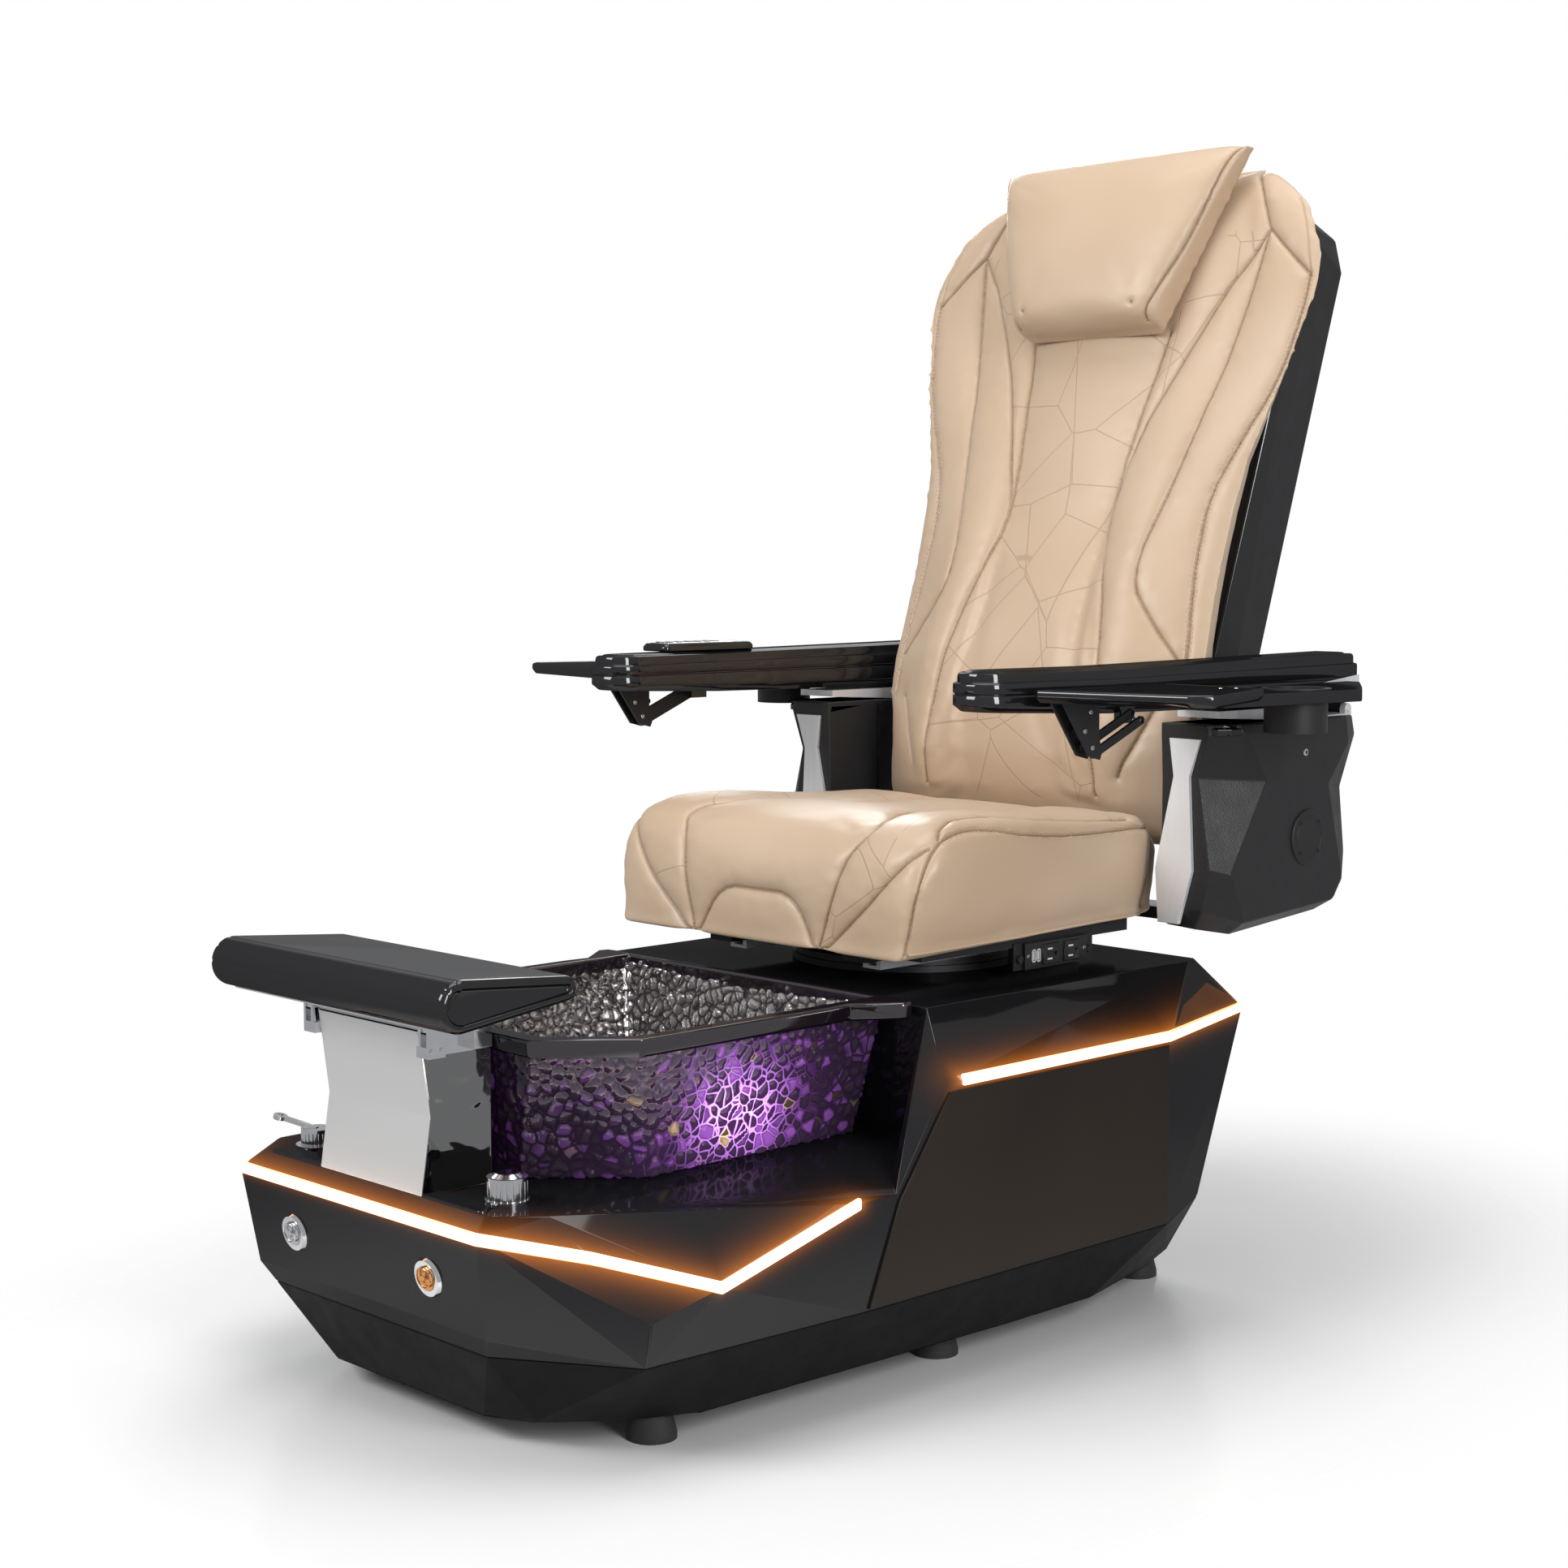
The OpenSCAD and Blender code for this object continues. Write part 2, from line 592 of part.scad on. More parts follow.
// Travel of the seat from its rest place
slide_ahead = 120;
slide_back = 50;
tube_rear = tube_front + slide_ahead + slide_back + 24;
module slide_actuator() color(dark_steel) difference() {
    union() {
        y_rod(0, tube_front, tube_rear, tube_z, tube_r);
        block([-10, tube_front + 60, rail_z], [10, tube_front + 100, tube_z]);
    }
    y_rod(0, tube_front - cut, tube_rear - 5, tube_z, rod_r + run);
}
beam_y = pivot_y - 40;
module actuator_rod() color(chrome)
    y_rod(0, beam_y + 20, tube_rear - slide_back - 8, tube_z, rod_r);

// Bar under the cushion whose top follows the cushion's rising underside
module under_seat(x0, x1, y0, y1, low) yz_plate(x0, x1, [[y0, low], [y1, low],
    [y1, seat_low(y1) - soft_gap], [y0, seat_low(y0) - soft_gap]]);
// Seat frame: runners in the rail grooves, cross beams, and the recline ears
beam_z = outlet_low + 29;
rear_beam_z = tube_z + tube_r + 2;
module seat_carriage() color(dark_steel) {
    both_sides() {
        under_seat(rail_x - 20, rail_x + 20, seat_front + 60, hinge_y - 20, carriage_z);
        block([rail_x - groove_w / 2 + gap, rail_front + slide_ahead, carriage_z - groove_d],
            [rail_x + groove_w / 2 - gap, rail_rear - slide_back, carriage_z]);
        under_seat(outlet_x - 6, outlet_x, seat_front + 60, seat_rear - 30, beam_z);
        for (y = [seat_front + 60, beam_y])
            under_seat(rail_x + 20, outlet_x - 6, y, y + 20, beam_z);
        difference() {
            yz_plate(axle_x + 7, axle_x + 13, [[hinge_y - 20, rear_beam_z],
                [hinge_y + 28, rear_beam_z], [hinge_y + 18, hinge_z + 16],
                [hinge_y - 16, hinge_z + 16]]);
            x_rod(axle_x, axle_x + 20, hinge_y, hinge_z, axle_r + run);
        }
    }
    block([-rail_x + 20, beam_y, carriage_z], [rail_x - 20, beam_y + 20, seat_z]);
    block([-post_x, hinge_y - 22, rear_beam_z], [post_x, hinge_y + 28, rear_beam_z + 16]);
}

// ---------------------------------------------------------------- seat cushion

function seat_top_z(y) = seat_z + seat_h * lookup(y - seat_front,
    [[0, 0.36], [4, 0.52], [14, 0.72], [32, 0.87], [62, 0.96], [100, 1], [170, 0.99],
     [250, 0.94], [350, 0.91], [seat_l - 20, 0.9], [seat_l - 8, 0.84], [seat_l, 0.7]]);
function seat_half(y) = seat_w / 2 + lookup(y - seat_front,
    [[0, -4], [6, 8], [20, 19], [50, 27], [120, 27], [300, 25], [seat_l - 30, 22], [seat_l, 10]]);
// Height share across the seat: dished middle, raised side rolls, drawn-in sides
seat_across = [[0, 0.955], [0.3, 0.965], [0.44, 0.975], [0.5, 0.955], [0.56, 0.985],
    [0.78, 1], [0.9, 0.965], [0.97, 0.86], [1, 0.72]];
seat_us = [-1, -0.97, -0.9, -0.78, -0.66, -0.56, -0.5, -0.44, -0.3, -0.15, 0,
    0.15, 0.3, 0.44, 0.5, 0.56, 0.66, 0.78, 0.9, 0.97, 1];
seat_ys = [0, 4, 9, 14, 22, 32, 46, 62, 80, 100, 135, 170, 210, 250, 300, 350, 400,
    430, 450, 460, 472, 480];
function seat_low(y) = seat_z + 14 * (y - seat_front) / seat_l;
function seat_ring(y) = let (top = seat_top_z(y), half = seat_half(y), low = seat_low(y))
    concat([for (u = seat_us) [u * half, y, low + (top - low) * lookup(abs(u), seat_across)]],
        [[half - 6, y, low + (top - low) * 0.35], [seat_w / 2, y, low + 6],
         [seat_w / 2 - 8, y, low], [0, y, low], [8 - seat_w / 2, y, low],
         [-seat_w / 2, y, low + 6], [6 - half, y, low + (top - low) * 0.35]]);
module seat_cushion() color(tan)
    lofted([for (s = seat_ys) seat_ring(seat_front + s * seat_l / 480)]);

// ---------------------------------------------------------------- outlets

module outlet_bracket() color(satin_black) difference() {
    union() {
        yz_plate(outlet_x, outlet_x + 2, [[outlet_y, outlet_low], [outlet_y + 152, outlet_low],
            [outlet_y + 152, beam_z + 5], [outlet_y, beam_z + 5]]);
        for (y = [9, 143]) x_rod(outlet_x + 2, outlet_x + 6, outlet_y + y, outlet_low + 14, 5);
    }
    block([outlet_x - cut, outlet_y + 18, outlet_low + 4],
        [outlet_x + 2 + cut, outlet_y + 134, outlet_low + 29]);
}
usb_places = [32, 41];
socket_places = [64, 104];
module outlet_module() color(black) difference() {
    union() {
        block([outlet_x + 2, outlet_y + 16, outlet_low], [outlet_x + 7, outlet_y + 136, outlet_low + 33]);
        block([outlet_x - 24, outlet_y + 19, outlet_low + 5],
            [outlet_x + 2, outlet_y + 133, outlet_low + 28]);
        for (y = socket_places) block([outlet_x + 7, outlet_y + y - 15, outlet_low + 4],
            [outlet_x + 9, outlet_y + y + 15, outlet_low + 29]);
    }
    for (y = usb_places) block([outlet_x - 6, outlet_y + y - 2.6, outlet_low + 10],
        [outlet_x + 8, outlet_y + y + 2.6, outlet_low + 23]);
    for (y = socket_places) {
        for (z = [10.2, 22.8]) block([outlet_x - 4, outlet_y + y - 7, outlet_low + z - 1],
            [outlet_x + 10, outlet_y + y + 1, outlet_low + z + 1]);
        x_rod(outlet_x - 4, outlet_x + 10, outlet_y + y + 8, outlet_low + 16.5, 2.4);
    }
}

// ---------------------------------------------------------------- arm housings

house_front = hinge_y - 118;
house_rear = hinge_y + 170;
waist_z = 645;
// Hourglass shell: a deep lower body, a waist, and a flared top
module arm_housing() difference() {
    union() {
        solid_of(house_lower(0));
        solid_of(house_upper(0));
    }
    solid_of(house_lower(shell_t));
    solid_of(house_upper(shell_t));
}
function house_lower(t) = [for (x = [house_in, house_out - t]) each
    [[x - (x > house_in ? 14 : 0), house_front + t, house_low + 12 + t],
     [x, house_front + 30, house_low + t], [x, house_rear - 26, house_low + 34 + t],
     [x, house_rear + 6 - t, house_low + 62], [x, house_front - 6 + t, 566],
     [x - (x > house_in ? 12 : 0), house_front + 6 + t, waist_z],
     [x - (x > house_in ? 4 : 0), house_rear - 12 - t, waist_z],
     [x + (x > house_in ? 8 - t : 0), house_front + 110, 580],
     [x + (x > house_in ? 8 - t : 0), house_rear - 70, 600]]];
function house_upper(t) = [for (x = [house_in, house_out - t]) each
    [[x - (x > house_in ? 12 : 0), house_front + 6 + t, waist_z],
     [x - (x > house_in ? 4 : 0), house_rear - 12 - t, waist_z],
     [x, house_front + t, collar_z - t], [x, house_rear - t, collar_z - t],
     [x, house_front + 140, house_top - t], [x, house_rear - t, house_top - t]]];
module left_arm_housing() color(satin_black) on_side(true) arm_housing();
module right_arm_housing() color(satin_black) on_side(false) arm_housing();

// Bow-tie facings on the front of the housings
strip_t = 2.5;
module housing_strips() color(brushed) both_sides() {
    solid_of(strip_rows([[house_low + 42, 2, 36, -2], [566, -3, 50, -6]]));
    solid_of(strip_rows([[566, -3, 50, -6], [waist_z - 1, 20, 44, 6]]));
    solid_of(strip_rows([[waist_z + 1, 20, 44, 6], [collar_z - 2, 4, 56, 0]]));
}
// Rows of height, low and high x from the housing's inner face, and depth from its front
function strip_rows(rows) = [for (r = rows, x = [r[1], r[2]], t = [0, strip_t])
    [house_in + 2 + x, house_front + r[3] - t - 0.2, r[0]]];

disc_y = hinge_y + 51;
disc_z = 589;
module housing_discs() color(black) both_sides() {
    x_rod(house_out + 8, house_out + 11, disc_y, disc_z, 36.5);
    for (a = [45:90:315]) x_rod(house_out + 11, house_out + 12.2,
        disc_y + 27 * cos(a), disc_z + 27 * sin(a), 3);
    x_rod(house_out, house_out + 3, hinge_y + 45, house_top - 42, 14);
}
// Steel plates that stand on the seat frame and carry the armrests
module arm_posts() color(dark_steel) both_sides()
    block([post_x, hinge_y - 30, house_low + 10], [house_in - gap, hinge_y + 110, house_top - 6]);

// Chamfered collars on the front of the housing tops
collar_z = house_top - 14;
module collar_shape(low, high, grow) translate([0, 0, low]) linear_extrude(high - low)
    polygon([[house_in - grow, house_front - 6 - grow], [house_out - 8, house_front - 6 - grow],
        [house_out + 4 + grow, house_front + 10], [house_out + 4 + grow, house_front + 96],
        [house_out - 8, house_front + 128], [house_in - grow, house_front + 128]]);
module arm_collars() color(black) both_sides() difference() {
    union() {
        collar_shape(collar_z, house_top - 5, 0);
        collar_shape(house_top - 5, house_top, -4);
    }
    yz_plate(house_in - 9, house_out, [[house_front, collar_z - cut], [house_front, collar_z],
        [house_front + 140, house_top], [house_front + 300, house_top],
        [house_front + 300, collar_z - cut]]);
}

// Bright wedges under the armrests, with the ears of the lift hinge at the rear
module rest_plates() color(brushed) both_sides() {
    yz_plate(arm_in + 2, arm_out - 8, [[house_front + 8, arm_low - 9],
        [house_front + 8, arm_low - gap], [house_front + 210, arm_low - gap],
        [house_front + 210, house_top], [house_front + 140, house_top]]);
    for (x = [arm_in + 4, arm_out - 12]) {
        x_rod(x, x + 8, lift_y, lift_z, 7.4);
        block([x, lift_y - 7.4, house_top], [x + 8, lift_y + 7.4, lift_z]);
    }
    block([arm_in + 4, house_front + 210, house_top], [arm_out - 4, lift_y + 7.4, house_top + 2]);
    x_rod(arm_in + 2, arm_out - 2, lift_y, lift_z, pin_r);
}

// ---------------------------------------------------------------- backrest

// Frame at the recline axle: Y runs square to the back, rearward, and Z up along it
module on_back() translate([0, hinge_y, hinge_z]) rotate([-back_lean, 0, 0]) children();

guide_r = 8;
guide_x = 110;
guide_w = 22;
guide_low = 110;
guide_high = 770;
module back_frame() color(dark_steel) on_back() {
    both_sides() {
        block([axle_x - 6, -18, -14], [axle_x, 18, back_l - 150]);
        x_rod(axle_x, axle_x + 14, 0, 0, axle_r);
        translate([guide_x, guide_w, guide_low]) cylinder(h = guide_high - guide_low, r = guide_r);
    }
    for (v = [guide_low - 20, guide_high])
        block([-axle_x + 6, guide_w - 14, v], [axle_x - 6, guide_w + 14, v + 20]);
    for (v = [guide_low - 20, guide_high])
        block([-60, guide_w, v], [60, case_rear - shell_t, v + 20]);
}

module massage_carriage() color(satin_black) on_back() difference() {
    union() {
        block([-guide_x - 18, guide_w - 14, 300], [guide_x + 18, guide_w + 16, 360]);
        for (s = [-1, 1], v = [285, 375]) {
            block([s * 55 - 8, -8, v - 12], [s * 55 + 8, guide_w, v + 12]);
            x_rod(s * 55 - 22, s * 55 + 22, -2, v, 22);
        }
    }
    for (s = [-1, 1]) translate([s * guide_x, guide_w, 290]) cylinder(h = 80, r = guide_r + run);
}

// Rear case: a closed tray, open towards the cushion
function case_points(t) = both([
    [236 - t, case_front - (t > 0 ? cut : 0), 34 + t], [240 - t, case_front - (t > 0 ? cut : 0), 220],
    [wing_w - 90 - t, case_front - (t > 0 ? cut : 0), back_l - 188],
    [wing_w - 104 - t, case_front - (t > 0 ? cut : 0), back_l - 72],
    [wing_w - 160 - t, case_front - (t > 0 ? cut : 0), back_l - 22 - t],
    [232 - t, case_rear - 30 - t, 34 + t], [228 - t, case_rear - t, 70],
    [236 - t, case_rear - t, 300], [252 - t, case_rear - t, back_l - 108],
    [238 - t, case_rear - 8 - t, back_l - 64], [180 - t, case_rear - 46 - t, back_l - 32 - t]]);
module back_shell() color(black) on_back() difference() {
    solid_of(case_points(0));
    solid_of(case_points(shell_t));
    both_sides() block([axle_x - 6 - gap, -18 - gap, 34 - cut],
        [axle_x + gap, 18 + gap, 34 + shell_t + cut]);
}

// Half width of the back cushion, from the recline axle upward
back_halves = [[20, 250], [64, 260], [180, 276], [225, 287], [346, 281], [450, 284],
    [533, 293], [657, 329], [774, wing_w], [822, wing_w - 7], [889, wing_w - 42],
    [930, wing_w - 90], [962, wing_w - 150]];
// How far the sides draw in from the front edge to the rear face
back_draws = [[20, 14], [180, 34], [346, 52], [533, 64], [657, 82], [774, 94], [962, 62]];
// Front surface in the middle, and at the wing edges
back_middles = [[20, -70], [40, -86], [62, -106], [110, -126], [250, -130], [360, -126],
    [465, -118], [600, -112], [690, -106], [900, -106], [940, -96], [962, -70]];
back_edges = [[20, -56], [62, -78], [200, -98], [900, -98], [940, -86], [962, -58]];
back_rolls = [[20, 0], [62, 8], [250, 16], [420, 14], [560, 10], [670, 0], [962, 0]];
function back_front(u, v) = let (c = lookup(v, back_middles), e = lookup(v, back_edges),
    r = lookup(v, back_rolls)) lookup(abs(u), [[0, c], [0.24, c], [0.3, c + 5],
        [0.36, c - r * 0.6], [0.5, c - r], [0.6, c - r + 3], [0.64, c - r + 8],
        [0.8, (c + e) / 2 - 3], [0.95, e - 1], [1, e + 6]]);
back_us = [-1, -0.95, -0.8, -0.64, -0.6, -0.5, -0.36, -0.3, -0.24, -0.12, 0,
    0.12, 0.24, 0.3, 0.36, 0.5, 0.6, 0.64, 0.8, 0.95, 1];
back_vs = [20, 30, 45, 62, 85, 110, 150, 200, 250, 300, 360, 420, 480, 533, 590, 657,
    715, 774, 822, 860, 889, 915, 940, 962];
function back_ring(s) = let (v = s * back_l / 962, half = lookup(s, back_halves),
    mid = (lookup(s, back_edges) + cushion_rear) / 2, draw = lookup(s, back_draws))
    concat([for (u = back_us) [u * half, back_front(u, s), v]],
        [[half - draw * 0.4, mid, v], [half - draw * 0.85, cushion_rear - 5, v],
         [half - draw, cushion_rear, v], [0, cushion_rear, v], [draw - half, cushion_rear, v],
         [draw * 0.85 - half, cushion_rear - 5, v], [draw * 0.4 - half, mid, v]]);
module back_cushion() color(tan) on_back() lofted([for (s = back_vs) back_ring(s)]);

pillow_low = back_l - 256;
pillow_high = back_l + 6;
pillow_vs = [0, 0.03, 0.08, 0.2, 0.35, 0.5, 0.65, 0.8, 0.9, 0.96, 1];
pillow_us = [-1, -0.97, -0.9, -0.75, -0.5, -0.25, 0, 0.25, 0.5, 0.75, 0.9, 0.97, 1];
pillow_full = [[0, 0.5], [0.03, 0.78], [0.08, 0.93], [0.2, 1], [0.5, 0.98], [0.8, 0.82],
    [0.9, 0.7], [0.96, 0.55], [1, 0.35]];
function pillow_ring(k) = let (v = pillow_low + k * (pillow_high - pillow_low),
    half = 128 + 94 * k, deep = 68 * lookup(k, pillow_full))
    concat([for (u = pillow_us) [u * half, pillow_rear - 4 - deep * lookup(abs(u),
        [[0, 1], [0.5, 0.99], [0.75, 0.94], [0.9, 0.82], [0.97, 0.64], [1, 0.4]]), v]],
        [[half - 5, pillow_rear, v], [0, pillow_rear, v], [5 - half, pillow_rear, v]]);
pillow_rear = -106 - soft_gap;
module headrest_pillow() color(tan) on_back() lofted([for (k = pillow_vs) pillow_ring(k)]);

// ---------------------------------------------------------------- armrests

module arm_outline(grow) {
    hull() {
        translate([head_x, head_y]) circle(r = head_r + grow, $fn = round_fn);
        translate([arm_in - grow, head_y + 158]) square([arm_w + 2 * grow, arm_rear - head_y - 158]);
    }
}
module arm_body() difference() {
    union() {
        translate([0, 0, arm_low + 12]) linear_extrude(arm_h - 24) arm_outline(0);
        hull() {
            translate([0, 0, arm_low + 12]) linear_extrude(0.1) arm_outline(0);
            translate([0, 0, arm_low]) linear_extrude(0.1) arm_outline(-8);
        }
        hull() {
            translate([0, 0, arm_z - 12]) linear_extrude(0.1) arm_outline(0);
            translate([0, 0, arm_z - 0.1]) linear_extrude(0.1) arm_outline(-5);
        }
    }
    // The underside rises towards the head
    yz_plate(arm_in - 40, arm_out + 40, [[head_y - 60, arm_low - cut],
        [head_y - 60, arm_low + head_rise], [pivot_y + 120, arm_low], [pivot_y + 120, arm_low - cut]]);
}
head_rise = 15;
module armrest() difference() {
    union() {
        arm_body();
        for (p = [[0, 0], stay_step]) x_rod(arm_out - 6, stay_x + 10 + (p[0] > 0 ? 7 : 0),
            stay_arm[0] + p[0], stay_arm[1] + p[1], stay_pin);
        block([arm_out - 6, stay_arm[0] - 8, stay_arm[1] - 13],
            [arm_out + 2.5, stay_arm[0] + 20, stay_arm[1] + 7]);
    }
    // Room for the hinge ears and their pin
    block([arm_in + 3.4, lift_y - 9, arm_low - cut], [arm_in + 12.6, arm_rear + cut, arm_low + 2]);
    block([arm_out - 12.6, lift_y - 9, arm_low - cut], [arm_out - 3.4, arm_rear + cut, arm_low + 2]);
}
module left_armrest() color(black) on_side(true) armrest_whole();
module right_armrest() color(black) on_side(false) armrest_whole();
module armrest_whole() {
    armrest();
    lift_knuckle();
}
// Knuckle between the hinge ears, bored for the lift pin
module lift_knuckle() difference() {
    union() {
        x_rod(arm_in + 13, arm_out - 13, lift_y, lift_z, 5.8);
        block([arm_in + 13, lift_y - 5.8, lift_z], [arm_out - 13, lift_y + 5.8, arm_low + 1]);
    }
    x_rod(arm_in + 12, arm_out - 12, lift_y, lift_z, pin_r + run);
}

// Rear tray, fixed to the armrest's outer face
module rear_tray() difference() {
    translate([0, 0, tray_top - tray_t]) linear_extrude(tray_t) polygon([
        [arm_out + gap, leaf_rear + 2], [cup_x + 26, leaf_rear + 2], [cup_x + 56, cup_y + 60],
        [cup_x + 8, cup_y + 132], [arm_out + 20, lift_y - 10], [arm_out + gap, lift_y - 10]]);
    translate([cup_x, cup_y, tray_top - tray_t - cut])
        cylinder(h = tray_t + 2 * cut, r = cup_d / 2 + run);
}
module left_tray() color(black) on_side(true) rear_tray();
module right_tray() color(black) on_side(false) rear_tray();

cup_low = tray_top - 53;
module cup_holder() translate([cup_x, cup_y, 0]) difference() {
    union() {
        translate([0, 0, cup_low]) cylinder(h = tray_top - cup_low, r = cup_d / 2);
        translate([0, 0, tray_top]) cylinder(h = 2, r = cup_d / 2 + 4);
    }
    translate([0, 0, cup_low + cup_wall]) cylinder(h = 60, r = cup_d / 2 - cup_wall);
}
module left_cup_holder() color(satin_black) on_side(true) cup_holder();
module right_cup_holder() color(satin_black) on_side(false) cup_holder();

// Leaf of the tray, in front of the rear tray and level with the armrest
module tray_leaf() translate([0, 0, leaf_low]) linear_extrude(tray_t) hull() {
    translate([leaf_in, leaf_rear - 232]) square([12, 230]);
    translate([leaf_reach - 20, leaf_rear - 168]) circle(r = 20, $fn = round_fn);
    translate([leaf_reach - 72, leaf_rear - 18]) circle(r = 16, $fn = round_fn);
}
module left_leaf() color(black) on_side(true) tray_leaf();
module right_leaf() color(black) on_side(false) tray_leaf();

// Bar of a link between two pivots in Y and Z, bored at both ends
link_r = 5;
module link_bar(x0, x1, a, b, free) difference() {
    hull() for (p = [a, b]) x_rod(x0, x1, p[0], p[1], link_r, $fn = round_fn);
    x_rod(x0 - cut, x1 + cut, a[0], a[1], stay_pin + free);
    x_rod(x0 - cut, x1 + cut, b[0], b[1], stay_pin + run);
}
module upper_link() link_bar(stay_x + 5, stay_x + 9, stay_ear, stay_arm, run);
module lower_link() link_bar(stay_x + 11, stay_x + 15, stay_ear + stay_step,
    stay_arm + stay_step, 4 * run);
module left_upper_link() color(satin_black) on_side(true) upper_link();
module right_upper_link() color(satin_black) on_side(false) upper_link();
module left_lower_link() color(satin_black) on_side(true) lower_link();
module right_lower_link() color(satin_black) on_side(false) lower_link();

// Pair of three-cornered ears under the leaf, with their pins and the balance spring
module leaf_bracket() {
    outline = [[stay_ear[0] - 52, leaf_low - 2], [stay_ear[0] + 12, leaf_low - 2],
        [stay_ear[0] + 12, stay_ear[1] + 12], [stay_ear[0] + 18, stay_ear[1] - 6],
        [stay_ear[0] + 14, stay_ear[1] - 15], [stay_ear[0] - 6, stay_ear[1] - 10]];
    yz_plate(stay_x, stay_x + 3, outline);
    yz_plate(stay_x + 18, stay_x + 21, outline);
    block([stay_x, stay_ear[0] - 52, leaf_low - 2], [stay_x + 21, stay_ear[0] + 12, leaf_low]);
    x_rod(stay_x + 3, stay_x + 9.5, stay_ear[0], stay_ear[1], stay_pin);
    x_rod(stay_x + 10.5, stay_x + 18, stay_ear[0] + stay_step[0], stay_ear[1] + stay_step[1], stay_pin);
    x_rod(stay_x + 3, stay_x + 18, stay_ear[0] - 14, stay_ear[1] + 20, 2.5);
    y_rod(stay_x + 10, stay_ear[0] - 15, stay_ear[0] + 20, stay_ear[1] + 20, 3.5);
}
module left_leaf_bracket() color(satin_black) on_side(true) leaf_bracket();
module right_leaf_bracket() color(satin_black) on_side(false) leaf_bracket();

// Remote control that lies on the right armrest
module remote_control() color(black) translate([-arm_in - arm_w / 2, pivot_y - 55, arm_z + gap])
    hull() {
        translate([-26, -85, 0]) cube([52, 170, 5]);
        translate([-22, -77, 0]) cube([44, 154, 11]);
    }

// ---------------------------------------------------------------- pieces

base_shell();
base_skirt();
floor_pan();
side_panels();
front_light_strip();
rear_light_strip();
levelling_feet();
tub_bowl();
tub_rim();
tub_drain();
jet_cover();
jet_motor();
jet_impeller();
control_box();
button_bezels();
left_button();
right_button();
valve_bodies();
mixer_lever();
diverter_knob();
footrest_pedestal();
footrest_brackets();
footrest_pad();
footrest_hinge();
turntable_base();
turntable_top();
slide_rails();
slide_actuator();
seat_carriage();
actuator_rod();
seat_cushion();
outlet_bracket();
outlet_module();
left_arm_housing();
right_arm_housing();
housing_strips();
housing_discs();
arm_posts();
arm_collars();
rest_plates();
back_frame();
back_shell();
back_cushion();
headrest_pillow();
massage_carriage();
left_armrest();
left_tray();
left_cup_holder();
left_upper_link();
left_lower_link();
left_leaf();
left_leaf_bracket();
right_armrest();
right_tray();
right_cup_holder();
right_upper_link();
right_lower_link();
right_leaf();
right_leaf_bracket();
remote_control();
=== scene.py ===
"""Pedicure spa chair: leather, lacquer, glass and steel, built around its packed frame.

Every length is in metres and every angle in degrees unless a name says otherwise. +X is the sitter's
left, -Y the way the sitter faces, +Z up, and the floor is at zero.
"""

import json
import math
from functools import partial

import bmesh
import bpy
import numpy as np
from bpy.props import FloatProperty, FloatVectorProperty, PointerProperty
from bpy.types import Operator, Panel, PropertyGroup
from mathutils import Matrix, Vector, noise
from mathutils.bvhtree import BVHTree
from mathutils.kdtree import KDTree

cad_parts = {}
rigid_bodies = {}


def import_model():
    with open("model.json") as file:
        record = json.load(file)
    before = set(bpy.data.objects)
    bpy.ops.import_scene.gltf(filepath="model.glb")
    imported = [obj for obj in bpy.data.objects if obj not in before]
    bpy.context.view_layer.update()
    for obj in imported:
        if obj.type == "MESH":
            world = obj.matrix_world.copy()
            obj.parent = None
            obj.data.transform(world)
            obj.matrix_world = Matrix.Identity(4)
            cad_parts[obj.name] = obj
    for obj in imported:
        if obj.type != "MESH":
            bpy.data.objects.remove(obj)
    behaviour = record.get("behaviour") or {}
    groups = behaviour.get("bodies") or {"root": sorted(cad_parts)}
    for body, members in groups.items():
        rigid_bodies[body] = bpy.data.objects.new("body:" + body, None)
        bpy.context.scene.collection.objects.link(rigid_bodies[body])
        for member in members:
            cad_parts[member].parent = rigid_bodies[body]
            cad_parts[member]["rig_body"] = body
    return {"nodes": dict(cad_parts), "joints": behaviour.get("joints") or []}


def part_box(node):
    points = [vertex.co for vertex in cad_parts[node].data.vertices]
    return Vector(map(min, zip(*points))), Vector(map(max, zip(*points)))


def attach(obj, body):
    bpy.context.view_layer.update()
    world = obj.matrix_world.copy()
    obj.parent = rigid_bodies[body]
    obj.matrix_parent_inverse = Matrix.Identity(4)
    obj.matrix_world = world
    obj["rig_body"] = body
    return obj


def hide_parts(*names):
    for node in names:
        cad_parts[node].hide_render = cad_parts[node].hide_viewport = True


bl_info = {
    "name": "Pedicure Spa Chair",
    "version": (1, 0, 0),
    "blender": (4, 5, 0),
    "location": "View3D > Sidebar > Spa Chair",
    "description": "Builds a pedicure spa chair around its packed frame",
    "category": "Add Mesh",
}

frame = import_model()
SIDES = {"left": 1.0, "right": -1.0}
MM = 0.001


def joint_place(name):
    """Where a joint of the frame sits."""
    joint = next(j for j in frame["joints"] if j["name"] == name)
    return Vector(joint["pos_m"])


HINGE = joint_place("back_recline")
BACK_LEAN = math.radians(16.5)
BACK_TURN = Matrix.Rotation(-BACK_LEAN, 4, "X")
# From the sitter into the back
INTO_BACK = BACK_TURN.to_3x3() @ Vector((0, 1, 0))


def on_back(x, y, v):
    """A place in the frame from a point across, behind and up the reclining back, in millimetres."""
    return Vector((0, HINGE.y, HINGE.z)) + BACK_TURN @ Vector((x * MM, y * MM, v * MM))


